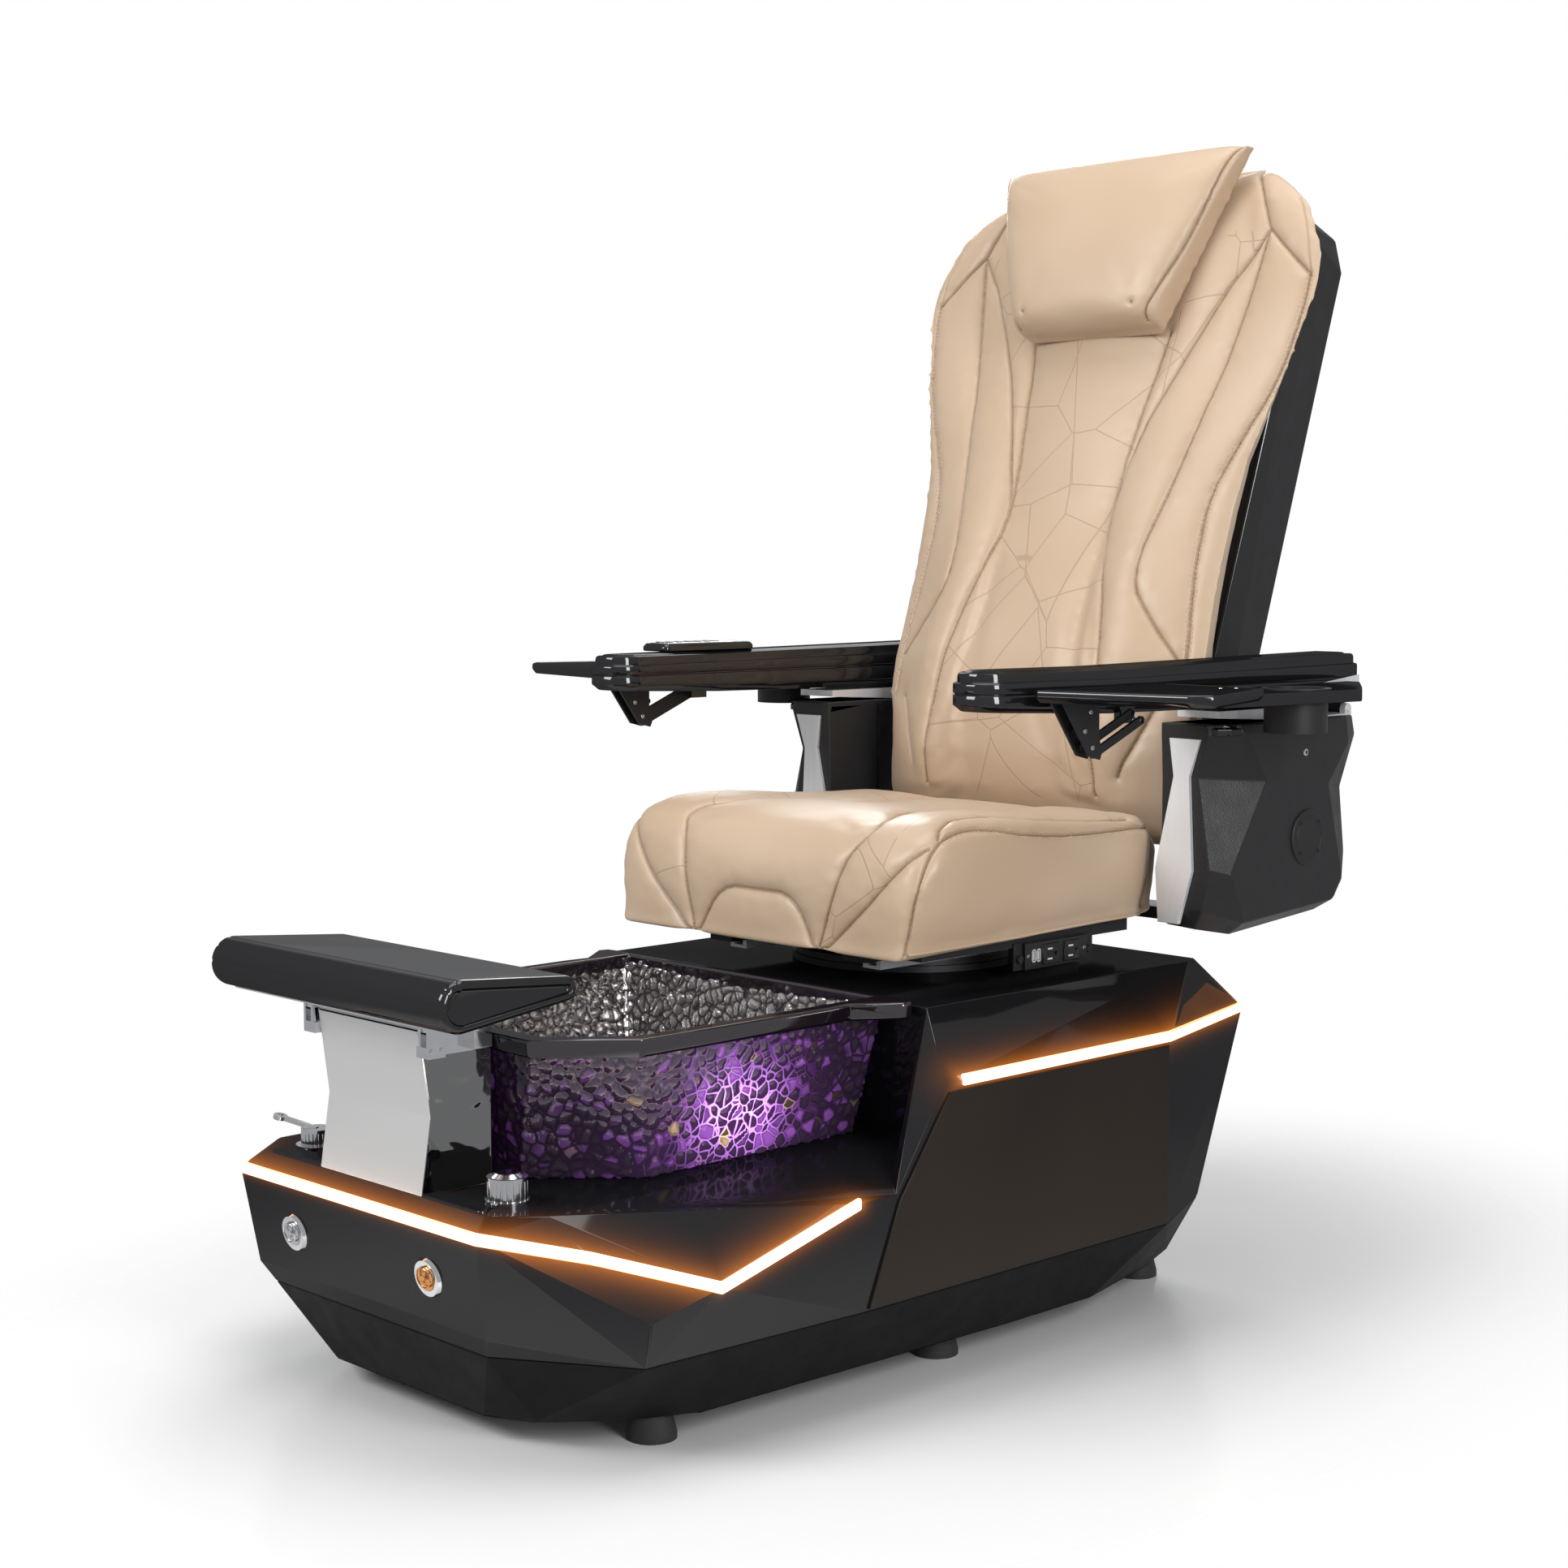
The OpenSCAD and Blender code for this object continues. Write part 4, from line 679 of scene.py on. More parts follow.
def drawn_in(outline, inset):
    """An outline drawn in by a distance, the same number of points."""
    points = [Vector(p) for p in outline]
    area = sum(a.cross(b) for a, b in zip(points, points[1:] + points[:1]))
    turn = 1 if area > 0 else -1
    result = []
    for i, p in enumerate(points):
        before, after = p - points[i - 1], points[(i + 1) % len(points)] - p
        before = before if before.length > 1e-7 else p - points[i - 2]
        after = after if after.length > 1e-7 else points[(i + 2) % len(points)] - p
        one = Vector((-before.y, before.x)).normalized() * turn
        two = Vector((-after.y, after.x)).normalized() * turn
        result.append(p + (one + two) * (inset / max(0.3, 1 + one.dot(two))))
    return unfolded(points, result)


def unfolded(points, drawn):
    """Draws each stretch of an inset outline that has turned back on itself together in its corner."""
    count = len(points)
    back = [(drawn[(i + 1) % count] - drawn[i]).dot(points[(i + 1) % count] - points[i]) < 0
            for i in range(count)]
    if all(back):
        return drawn
    for i in range(count):
        if back[i] and not back[i - 1]:
            last = i
            while back[last % count]:
                last += 1
            along = points[i] - points[i - 1]
            onward = points[(last + 1) % count] - points[last % count]
            turn = along.cross(onward)
            if abs(turn) < 1e-9:
                continue
            spot = drawn[i] + along * ((drawn[last % count] - drawn[i]).cross(onward) / turn)
            for k in range(i, last + 1):
                drawn[k % count] = spot.copy()
    return drawn


def netted(bm, rows):
    """Adds a closed skin through rows of equally many points, capped at both ends."""
    rings = [[bm.verts.new(p) for p in row] for row in rows]
    for a, b in zip(rings, rings[1:]):
        for i in range(len(a)):
            bm.faces.new((a[i - 1], a[i], b[i], b[i - 1]))
    bm.faces.new(rings[0][::-1])
    bm.faces.new(rings[-1])
    bmesh.ops.recalc_face_normals(bm, faces=bm.faces)


def stacked(bm, outline, levels, put):
    """Adds a closed solid: the outline drawn in at each (height, inset); put places x, y and height."""
    netted(bm, [[put(p.x, p.y, height) for p in drawn_in(outline, inset)] for height, inset in levels])


def on_side(side, x, y, z):
    """A place given in millimetres on the sitter's left, put on a side in metres."""
    return Vector((SIDES[side] * x * MM, y * MM, z * MM))


def solid(bm, low, high):
    """Adds a box."""
    made = bmesh.ops.create_cube(bm, size=1)
    size = [h - l for l, h in zip(low, high)]
    middle = [(h + l) / 2 for l, h in zip(low, high)]
    bmesh.ops.transform(bm, verts=made["verts"],
                        matrix=Matrix.Translation(middle) @ Matrix.Diagonal((*size, 1)))


def moved_over(bm, side):
    """Moves what stands on the sitter's left over to a side, and turns its faces outwards."""
    if side == "right":
        there = [v for v in bm.verts if v.co.x > 0]
        bmesh.ops.transform(bm, verts=there, matrix=Matrix.Diagonal((-1, 1, 1, 1)))
    bmesh.ops.recalc_face_normals(bm, faces=bm.faces)


def turned(bm, profile, place, sides=32):
    """Adds a closed turned shape: (radius, height) points round Z, moved by a matrix."""
    rings = []
    for r, z in profile:
        if r < 1e-7:
            rings.append([bm.verts.new(place @ Vector((0, 0, z)))])
        else:
            rings.append([bm.verts.new(place @ Vector((r * math.cos(a), r * math.sin(a), z)))
                          for a in (math.tau * i / sides for i in range(sides))])
    for a, b in zip(rings, rings[1:]):
        for i in range(sides):
            j = (i + 1) % sides
            ring = [a[i % len(a)], a[j % len(a)], b[j % len(b)], b[i % len(b)]]
            corners = list(dict.fromkeys(ring))
            if len(corners) > 2:
                bm.faces.new(corners)


def facing(place, normal, along=(0, 0, 1)):
    """A matrix that stands at a place with its Z along a normal."""
    z = Vector(normal).normalized()
    x = Vector(along).cross(z)
    if x.length < 1e-4:
        x = Vector((1, 0, 0)).cross(z)
    x.normalize()
    y = z.cross(x)
    turn = Matrix((x, y, z)).transposed().to_4x4()
    return Matrix.Translation(place) @ turn


def line_mesh(lines):
    """A mesh of bare edges through each line of points."""
    mesh = bpy.data.meshes.new("lines")
    points, edges = [], []
    for line in lines:
        first = len(points)
        points += [tuple(p) for p in line]
        edges += [(first + i, first + i + 1) for i in range(len(line) - 1)]
    mesh.from_pydata(points, edges, [])
    return mesh


# ---------------------------------------------------------------- what repeats

class Repeat(Nodes):
    """A tree of geometry nodes with named inputs, which ends as real geometry in its finish."""

    def __init__(self, name, sockets):
        super().__init__(bpy.data.node_groups.new(name, "GeometryNodeTree"))
        outside = self.tree.interface
        outside.new_socket("Geometry", in_out="INPUT", socket_type="NodeSocketGeometry")
        for label, kind, value in sockets:
            socket = outside.new_socket(label, in_out="INPUT", socket_type="NodeSocket" + kind)
            if value is not None:
                socket.default_value = value
        outside.new_socket("Finish", in_out="INPUT", socket_type="NodeSocketMaterial")
        outside.new_socket("Geometry", in_out="OUTPUT", socket_type="NodeSocketGeometry")
        self.start = self.add("NodeGroupInput")

    def given(self, label):
        """One of the tree's inputs."""
        return self.start.outputs[label]

    def spaced(self, length):
        """The tree's lines as curves whose points lie a length apart."""
        curve = self.step("GeometryNodeMeshToCurve", {0: self.given("Geometry")})
        return self.step("GeometryNodeResampleCurve", {"Curve": curve, "Length": length}, mode="LENGTH")

    def turned_along(self, vector):
        """A turn that brings Z along a vector."""
        return self.step("FunctionNodeAlignRotationToVector", {"Vector": vector}, axis="Z")

    def close(self, geometry):
        """Makes instances real, gives them the finish and ends the tree."""
        real = self.step("GeometryNodeRealizeInstances", {0: geometry})
        painted = self.step("GeometryNodeSetMaterial",
                            {"Geometry": real, "Material": self.given("Finish")})
        self.join(painted, self.add("NodeGroupOutput").inputs[0])


def studs_tree(name):
    """A head on every point, its Z along the point's own facing vector."""
    tree = Repeat(name, [("Head", "Object", None), ("Scale", "Float", 1.0)])
    head = tree.step("GeometryNodeObjectInfo", {"Object": tree.given("Head")}, "Geometry")
    way = tree.step("GeometryNodeInputNamedAttribute", {"Name": "facing"}, "Attribute",
                    data_type="FLOAT_VECTOR")
    tree.close(tree.step("GeometryNodeInstanceOnPoints", {
        "Points": tree.given("Geometry"), "Instance": head, "Rotation": tree.turned_along(way),
        "Scale": tree.given("Scale")}))


def stitch_tree(name):
    """Short capsules along lines, one for every pitch, lying along the line."""
    tree = Repeat(name, [("Pitch", "Float", 0.006), ("Radius", "Float", 0.0005),
                         ("Length", "Float", 0.004)])
    points = tree.spaced(tree.given("Pitch"))
    ball = tree.step("GeometryNodeMeshUVSphere", {"Segments": 6, "Rings": 5, "Radius": 1.0})
    tangent = tree.step("GeometryNodeInputTangent", {})
    half = tree.step("ShaderNodeMath", {0: tree.given("Length"), 1: 0.5}, operation="MULTIPLY")
    radius = tree.given("Radius")
    size = tree.step("ShaderNodeCombineXYZ", {0: radius, 1: radius, 2: half})
    tree.close(tree.step("GeometryNodeInstanceOnPoints", {
        "Points": points, "Instance": ball, "Rotation": tree.turned_along(tangent), "Scale": size}))


def cord_tree(name):
    """A round cord along lines."""
    tree = Repeat(name, [("Radius", "Float", 0.001), ("Step", "Float", 0.004), ("Sides", "Int", 8)])
    ring = tree.step("GeometryNodeCurvePrimitiveCircle",
                     {"Resolution": tree.given("Sides"), "Radius": tree.given("Radius")})
    tree.close(tree.step("GeometryNodeCurveToMesh", {
        "Curve": tree.spaced(tree.given("Step")), "Profile Curve": ring, "Fill Caps": True}))


def pebble_tree(name):
    """Hammered pebbles: the skin rises in the middle of each cell and dips between cells."""
    tree = Repeat(name, [("Cells", "Float", 60.0), ("Relief", "Float", 0.0015)])
    place = tree.step("GeometryNodeInputPosition", {})
    bend = tree.step("ShaderNodeTexNoise",
                     {"Vector": place, "Scale": PEBBLE_BEND, "Detail": 1.0}, "Color")
    sway = tree.step("ShaderNodeVectorMath", {0: bend, "Scale": PEBBLE_SWAY}, operation="SCALE")
    bent = tree.step("ShaderNodeVectorMath", {0: place, 1: sway})
    edge = tree.step("ShaderNodeTexVoronoi", {"Vector": bent, "Scale": tree.given("Cells")},
                     "Distance", feature="DISTANCE_TO_EDGE")
    rise = tree.step("ShaderNodeMapRange", {0: edge, 1: 0.0, 2: 0.32, 3: -0.5, 4: 0.5},
                     interpolation_type="SMOOTHSTEP")
    high = tree.step("ShaderNodeMath", {0: rise, 1: tree.given("Relief")}, operation="MULTIPLY")
    normal = tree.step("GeometryNodeInputNormal", {})
    push = tree.step("ShaderNodeVectorMath", {0: normal, "Scale": high}, operation="SCALE")
    tree.close(tree.step("GeometryNodeSetPosition",
                         {"Geometry": tree.given("Geometry"), "Offset": push}))


TREES = {"studs": studs_tree, "stitches": stitch_tree, "cords": cord_tree, "pebbles": pebble_tree}


def grown(tree_name, mesh, **values):
    """The plain mesh that a tree makes from a mesh; values are its inputs by name."""
    if tree_name not in bpy.data.node_groups:
        TREES[tree_name](tree_name)
    tree = bpy.data.node_groups[tree_name]
    sockets = {s.name: s.identifier for s in tree.interface.items_tree if s.in_out == "INPUT"}

    def add(obj):
        modifier = obj.modifiers.new(tree_name, "NODES")
        modifier.node_group = tree
        for name, value in values.items():
            modifier[sockets[name]] = value

    return with_modifiers(mesh, add)


def screw_head():
    """A domed head with a round hollow in its top, one unit in radius."""
    sides, height, hollow = 18, 0.45, 0.5
    bm = bmesh.new()
    turned(bm, [(0, 0), (1, 0), (1, height * 0.45), (0.92, height * 0.75), (0.72, height * 0.95),
                (hollow, height)], Matrix.Identity(4), sides)
    rim = [v for v in bm.verts if abs(v.co.z - height) < 1e-6]
    low = [bm.verts.new((v.co.x * 0.9, v.co.y * 0.9, height * 0.35)) for v in rim]
    for i in range(sides):
        bm.faces.new((rim[i], rim[(i + 1) % sides], low[(i + 1) % sides], low[i]))
    bm.faces.new(low)
    bmesh.ops.recalc_face_normals(bm, faces=bm.faces)
    return mesh_from(bm, "screw_head")


def studs(name, spots, body, look, scale, slot=None):
    """Screws or rivets as one piece: spots are (place, outward direction)."""
    prototype = bpy.data.objects.new("head", screw_head())
    bpy.context.scene.collection.objects.link(prototype)
    mesh = bpy.data.meshes.new("spots")
    mesh.from_pydata([tuple(p) for p, _ in spots], [], [])
    ways = mesh.attributes.new("facing", "FLOAT_VECTOR", "POINT")
    ways.data.foreach_set("vector", [c for _, n in spots for c in Vector(n).normalized()])
    made = grown("studs", mesh, Head=prototype, Scale=scale, Finish=finish(look))
    bpy.data.objects.remove(prototype)
    return piece(name, shaded(made), body, look, slot)


def cord_piece(name, lines, radius, body, look, slot=None):
    """Thin round edging along lines, as one piece."""
    made = grown("cords", line_mesh(lines), Radius=radius, Step=0.004, Sides=8, Finish=finish(look))
    bm = bmesh.new()
    bm.from_mesh(made)
    bmesh.ops.recalc_face_normals(bm, faces=bm.faces)
    return piece(name, mesh_from(bm, name, 60), body, look, slot)


# ---------------------------------------------------------------- upholstery

def eased(line, rounds=2):
    """A line with its corners cut, round after round, so that it bends gently."""
    for _ in range(rounds):
        cut = [line[0]]
        for a, b in zip(line, line[1:]):
            cut += [a.lerp(b, 0.25), a.lerp(b, 0.75)]
        line = cut + [line[-1]]
    return line


def even_points(line, step=0.002):
    """Points a step apart along a line."""
    points = [line[0]]
    for a, b in zip(line, line[1:]):
        count = max(1, int(round((b - a).length / step)))
        points += [a.lerp(b, (i + 1) / count) for i in range(count)]
    return points


def laid(lines, skin, along=None, back=0.25):
    """Lays lines on a skin: along a direction where one is given, or at the nearest place."""
    result = []
    for line in lines:
        points = []
        for p in even_points(eased([Vector(p) for p in line])):
            hit = skin.ray_cast(p - along * back, along)[0] if along else None
            points.append(hit or skin.find_nearest(p)[0])
        result.append(points)
    return result


def distances(points, places):
    """The distance from each place to the nearest of some points."""
    tree = KDTree(len(points))
    for i, p in enumerate(points):
        tree.insert(p, i)
    tree.balance()
    return np.array([tree.find(p)[2] for p in places])


def skin_of(mesh):
    """A mesh's skin, to look for its nearest places."""
    bm = bmesh.new()
    bm.from_mesh(mesh)
    tree = BVHTree.FromBMesh(bm)
    bm.free()
    return tree


def places_of(mesh):
    """Where a mesh's points are."""
    co = np.empty(len(mesh.vertices) * 3)
    mesh.vertices.foreach_get("co", co)
    return co.reshape(-1, 3)


def normals_of(mesh):
    """Which way a mesh's points face."""
    out = np.empty(len(mesh.vertices) * 3)
    mesh.vertex_normals.foreach_get("vector", out)
    return out.reshape(-1, 3)


def moved(mesh, co):
    """Puts a mesh's points in other places."""
    mesh.vertices.foreach_set("co", co.ravel())
    mesh.update()


def remeshed(node, step):
    """A node's solid as an even net of small squares."""
    bm = joined_copy(node, flat=0)
    mesh = mesh_from(bm)

    def add(obj):
        net = obj.modifiers.new("net", "REMESH")
        net.mode = "VOXEL"
        net.voxel_size = step
        net.use_smooth_shade = True

    return with_modifiers(mesh, add)


def swollen(mesh, held, pressure, cap, frames=20):
    """Blows a closed cover up against its held points, as cloth, and caps how far it moves."""
    start = places_of(mesh)
    obj = bpy.data.objects.new("cover", mesh)
    bpy.context.scene.collection.objects.link(obj)
    group = obj.vertex_groups.new(name="held")
    group.add([int(i) for i in np.nonzero(held)[0]], 1.0, "REPLACE")
    cloth = obj.modifiers.new("cover", "CLOTH")
    look = cloth.settings
    look.quality = 4
    look.vertex_group_mass = "held"
    look.use_pressure = True
    look.uniform_pressure_force = pressure
    look.bending_stiffness = 0.4
    look.effector_weights.gravity = 0
    cloth.point_cache.frame_start = 1
    cloth.point_cache.frame_end = frames
    for number in range(1, frames + 1):
        bpy.context.scene.frame_set(number)
    view = bpy.context.evaluated_depsgraph_get()
    shape = obj.evaluated_get(view).to_mesh()
    move = places_of(shape) - start
    obj.evaluated_get(view).to_mesh_clear()
    bpy.context.scene.frame_set(1)
    far = np.linalg.norm(move, axis=1, keepdims=True)
    move *= np.minimum(1.0, cap / np.maximum(far, 1e-9))
    result = mesh.copy()
    bpy.data.objects.remove(obj)
    moved(result, start + move)
    return result


def softened(mesh, rounds):
    """Moves each point of a mesh half way to the middle of its neighbours, round after round."""
    co = places_of(mesh)
    edges = np.empty(len(mesh.edges) * 2, np.int64)
    mesh.edges.foreach_get("vertices", edges)
    a, b = edges.reshape(-1, 2).T
    count = np.bincount(a, minlength=len(co)) + np.bincount(b, minlength=len(co))
    for _ in range(rounds):
        total = np.zeros_like(co)
        np.add.at(total, a, co[b])
        np.add.at(total, b, co[a])
        co += (total / count[:, None] - co) * 0.5
    moved(mesh, co)


def blown_up(mesh, seams, firm, swell):
    """A cover that starts inside its filling and is blown up between the points of its seams."""
    look = settings("leather")
    co, normal = places_of(mesh), normals_of(mesh)
    rests = firm(co)
    co -= normal * (look.inset * (1.0 - rests))[:, None]
    moved(mesh, co)
    near = distances(seams, co + normal * look.inset)
    return swollen(mesh, rests | (near < look.voxel * 0.9), look.pressure, look.swell * swell)


def made_finer(mesh, spots, reach):
    """Splits the edges within reach of some places, so that a seam's fold has points to bend."""
    bm = bmesh.new()
    bm.from_mesh(mesh)
    gaps = distances(spots, [v.co for v in bm.verts])
    close = {v for v, gap in zip(bm.verts, gaps) if gap < reach}
    edges = [e for e in bm.edges if e.verts[0] in close and e.verts[1] in close]
    bmesh.ops.subdivide_edges(bm, edges=edges, cuts=1, use_grid_fill=True)
    bm.to_mesh(mesh)
    bm.free()


def narrow(distance, width):
    """1 on a seam, and falling off like a bell."""
    return np.exp(-(distance / width) ** 2)


def broad(distance, width):
    """1 on a seam, and falling off evenly to a long tail."""
    return np.exp(-distance / width)


def creased(mesh, seams, fine, depth, pattern):
    """Draws a cover in along its seams, puckers it beside them, stores the painted shade of its creases
    and marks its lines.
    """
    co, normal = places_of(mesh), normals_of(mesh)
    near = distances(seams, co)
    by_fine = distances(fine, co) if fine else near + 1
    pucker = np.array([noise.noise(Vector(p) * 60) for p in co])
    drop = depth * broad(near, 0.0060) + 0.0022 * narrow(near, 0.0018)
    drop += 0.0010 * narrow(by_fine, 0.0016) + 0.0008 * broad(by_fine, 0.006)
    drop += 0.0011 * pucker * broad(np.minimum(near, by_fine), 0.022)
    moved(mesh, co - normal * drop[:, None])
    # Painted shade: how dark each point is painted, strongest right on a seam and on a shallow one
    crease_shade = 0.85 * narrow(near, 0.0017) + 0.5 * narrow(by_fine, 0.0016) + 0.14 * broad(near, 0.010)
    lines = pattern(co) if pattern else np.zeros(len(co))
    for label, values in (("crease_shade", crease_shade), ("pattern", lines)):
        layer = mesh.attributes.get(label) or mesh.attributes.new(label, "FLOAT", "POINT")
        layer.data.foreach_set("value", np.clip(values, 0, 1).astype(np.float32))


def in_one(lines):
    """All the points of some lines."""
    return [p for line in lines for p in line]


def upholstered(name, node, lines, firm, along=None, pattern=None, fine=(), sink=1.0, swell=1.0):
    """A soft piece in place of its plain solid: blown up between its seams, then creased along them.

    lines are its seams, fine its shallow ones, firm says which points rest on something and stay, and
    pattern gives each point's share of the debossed lines. Gives the new skin and the seams on it.
    """
    look = settings("leather")
    mesh = remeshed(node, look.voxel)
    skin = skin_of(mesh)
    seams, shallow = laid(lines, skin, along), laid(fine, skin, along)
    mesh = blown_up(mesh, in_one(seams), firm, swell)
    softened(mesh, 5)
    mesh = with_modifiers(mesh, lambda obj: setattr(
        obj.modifiers.new("finer", "SUBSURF"), "levels", 1))
    skin = skin_of(mesh)
    seams, shallow = ([[skin.find_nearest(p)[0] for p in line] for line in group]
                      for group in (seams, shallow))
    made_finer(mesh, in_one(seams + shallow), look.voxel)
    creased(mesh, in_one(seams), in_one(shallow), look.seam_depth * sink, pattern)
    mesh.polygons.foreach_set("use_smooth", [True] * len(mesh.polygons))
    obj = piece(name, mesh, body_of(node), "leather", "leather", (node,))
    return skin_of(mesh), seams


def offset_line(line, skin, sideways, lift=0.0004):
    """A line moved sideways on a skin and lifted off it."""
    result = []
    for i, p in enumerate(line):
        ahead = line[min(i + 1, len(line) - 1)] - line[max(i - 1, 0)]
        if ahead.length < 1e-7:
            continue
        normal = skin.find_nearest(p)[1]
        spot, normal, _, _ = skin.find_nearest(p + normal.cross(ahead.normalized()) * sideways)
        result.append(spot + normal * lift)
    return result


def stitched(name, lines, skin, body):
    """A row of stitches on each side of some seams, as one piece."""
    pitch, away, radius, share = settings("leather").stitch_gap, 0.0045, 0.00055, 0.66
    rows = [offset_line(line, skin, sideways) for line in lines for sideways in (away, -away)]
    made = grown("stitches", line_mesh(rows), Pitch=pitch, Radius=radius, Length=pitch * share,
                 Finish=finish("thread"))
    return piece(name, shaded(made, 80), body, "thread", "leather")


# ---------------------------------------------------------------- the pieces' lines

def mirrored(lines):
    """Lines given on the sitter's left, with their mirror images."""
    return lines + [[(-p[0], *p[1:]) for p in line] for line in lines]


# Seams of the back, across and up it in millimetres, on the sitter's left
BACK_SEAMS = [
    [(119, 712), (95, 560), (88, 467), (95, 400), (119, 330), (141, 220), (150, 129), (152, 60)],
    [(250, 850), (190, 748), (133, 625), (96, 510), (90, 467)],
    [(250, 850), (230, 715), (200, 560), (183, 470), (160, 362), (205, 300), (250, 250)],
    [(226, 186), (187, 92)],
    [(250, 850), (290, 815), (328, 782)],
    [(205, 955), (225, 905), (250, 850)],
]
BACK_EDGE_SEAM = [(328, 782), (327, 730), (310, 635), (274, 563), (242, 483), (241, 412), (247, 333),
                  (256, 264), (258, 200)]
BACK_FINE = [[(290, 895), (312, 850), (328, 782)]]
PILLOW_SEAM = [(207, 962), (182, 863), (152, 783), (112, 706)]
# Behind which depth the back rests on its case, and the pillow on the back
BACK_RESTS, PILLOW_RESTS = -46, -112
# The case's trim and the front of its lining, as (up, half width)
CASE_TRIM = [(220, 240), (520, 252), (774, 262.6)]
CASE_LINING = [(120, 234), (220, 236), (520, 248), (774, 258.6), (830, 250)]

# Seams of the seat, in the frame, in millimetres, on the sitter's left
SEAT_SEAMS = [
    [(0, -126, 540), (66, -126, 540), (105, -126, 476)],
    [(110, -126, 474), (131, -125, 538), (146, -110, 597), (165, -88, 625), (152, -40, 636),
     (120, 20, 636), (96, 90, 630), (92, 200, 622), (100, 300, 618)],
    [(118, -126, 474), (185, -126, 530), (232, -112, 582), (262, -84, 612)],
    [(255, -112, 480), (266, -114, 546), (270, -95, 601), (266, -67, 621)],
    [(262, -67, 622), (244, -50, 636), (225, 20, 642), (232, 130, 632), (246, 230, 624),
     (252, 300, 620)],
]
SEAT_SIDE_SEAM = [(266, -67, 621), (264, -30, 632), (266, 21, 632), (275, 81, 618), (275, 188, 611),
                  (268, 302, 612), (266, 330, 606)]
SEAT_REAR_SEAM = [(267, 330, 606), (263, 330, 560), (260, 328, 500)]


def back_lines(lines, depth=-300):
    """Lines up the back as places well ahead of its skin."""
    return [[on_back(x, depth, v) for x, v in line] for line in mirrored(lines)]


def inside(shape, x, v):
    """Which points lie inside an outline."""
    result = np.zeros(len(x), bool)
    for (x0, v0), (x1, v1) in zip(shape, shape[1:] + shape[:1]):
        cross = ((v0 > v) != (v1 > v)) & (x < (x1 - x0) * (v - v0) / ((v1 - v0) or 1e-9) + x0)
        result ^= cross
    return result


def to_back(co):
    """Across, behind and up the back, in millimetres, of places in the frame."""
    turn = np.array(BACK_TURN.to_3x3().transposed())
    return ((co - np.array(HINGE) * (0, 1, 1)) @ turn.T) / MM


def back_pattern(co):
    """Where the back carries its debossed lines: the middle panel and the slim insets beside it."""
    x, _, v = to_back(co).T
    x = np.abs(x)
    middle = [(0, 60), (150, 60), (141, 220), (119, 330), (95, 400), (88, 467), (95, 560), (119, 712),
              (0, 712)]
    inset = [(90, 467), (96, 510), (133, 625), (190, 748), (250, 850), (190, 850), (119, 712),
             (95, 560)]
    return (inside(middle, x, v) | inside(inset, x, v)).astype(float)


def seat_pattern(co):
    """Where the seat carries its debossed lines: the fans at its front and the bolsters on top."""
    x, y, z = (co / MM).T
    x = np.abs(x)
    fan = [(110, 474), (118, 474), (185, 530), (232, 582), (262, 612), (165, 625), (146, 597),
           (131, 538)]
    bolster = [(165, -88), (262, -67), (225, 20), (232, 130), (252, 300), (100, 300), (92, 200),
               (96, 90), (120, 20), (152, -40)]
    return ((inside(fan, x, z) & (y < -70)) | (inside(bolster, x, y) & (z > 600))).astype(float)


# ---------------------------------------------------------------- upholstery operators

class BuildSeat(Operator):
    """Builds the seat cushion with its seams, stitches and welt"""

    bl_idname = "chair.seat"
    bl_label = "Seat cushion"

    def execute(self, context):
        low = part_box("seat_cushion")[0].z
        lines = [[tuple(c * MM for c in p) for p in line] for line in
                 mirrored(SEAT_SEAMS + [SEAT_SIDE_SEAM, SEAT_REAR_SEAM])]
        skin, seams = upholstered(
            "seat_cushion_leather", "seat_cushion", lines, pattern=seat_pattern,
            firm=lambda co: co[:, 2] < low + 0.006 + 0.03 * (co[:, 1] + 0.126))
        half = len(seams) // 2
        stitched("seat_stitches", [seams[half - 2], seams[-2]], skin, "seat")
        x, z = 0.256, 0.482
        hem = [[skin.find_nearest(Vector((x * side, y * MM, z)))[0] for y in range(-112, 330, 20)]
               for side in (1, -1)]
        cord_piece("seat_welt", hem, 0.0022, "seat", "leather", "leather")
        return {"FINISHED"}


class BuildBack(Operator):
    """Builds the back cushion with its winged panels, seams and stitches"""

    bl_idname = "chair.back_cushion"
    bl_label = "Back cushion"

    def execute(self, context):
        lines = back_lines(BACK_SEAMS + [BACK_EDGE_SEAM])
        skin, seams = upholstered(
            "back_cushion_leather", "back_cushion", lines, along=INTO_BACK, pattern=back_pattern,
            firm=lambda co: to_back(co)[:, 1] > BACK_RESTS, fine=back_lines(BACK_FINE))
        half = len(seams) // 2
        stitched("back_stitches", [seams[half - 1], seams[-1]], skin, "back")
        return {"FINISHED"}


class BuildPillow(Operator):
    """Builds the headrest pillow with its side rolls"""

    bl_idname = "chair.pillow"
    bl_label = "Headrest pillow"

    def execute(self, context):
        upholstered("headrest_leather", "headrest_pillow", back_lines([PILLOW_SEAM]), along=INTO_BACK,
                    firm=lambda co: to_back(co)[:, 1] > PILLOW_RESTS, sink=0.7, swell=0.7)
        return {"FINISHED"}


# ---------------------------------------------------------------- base operators

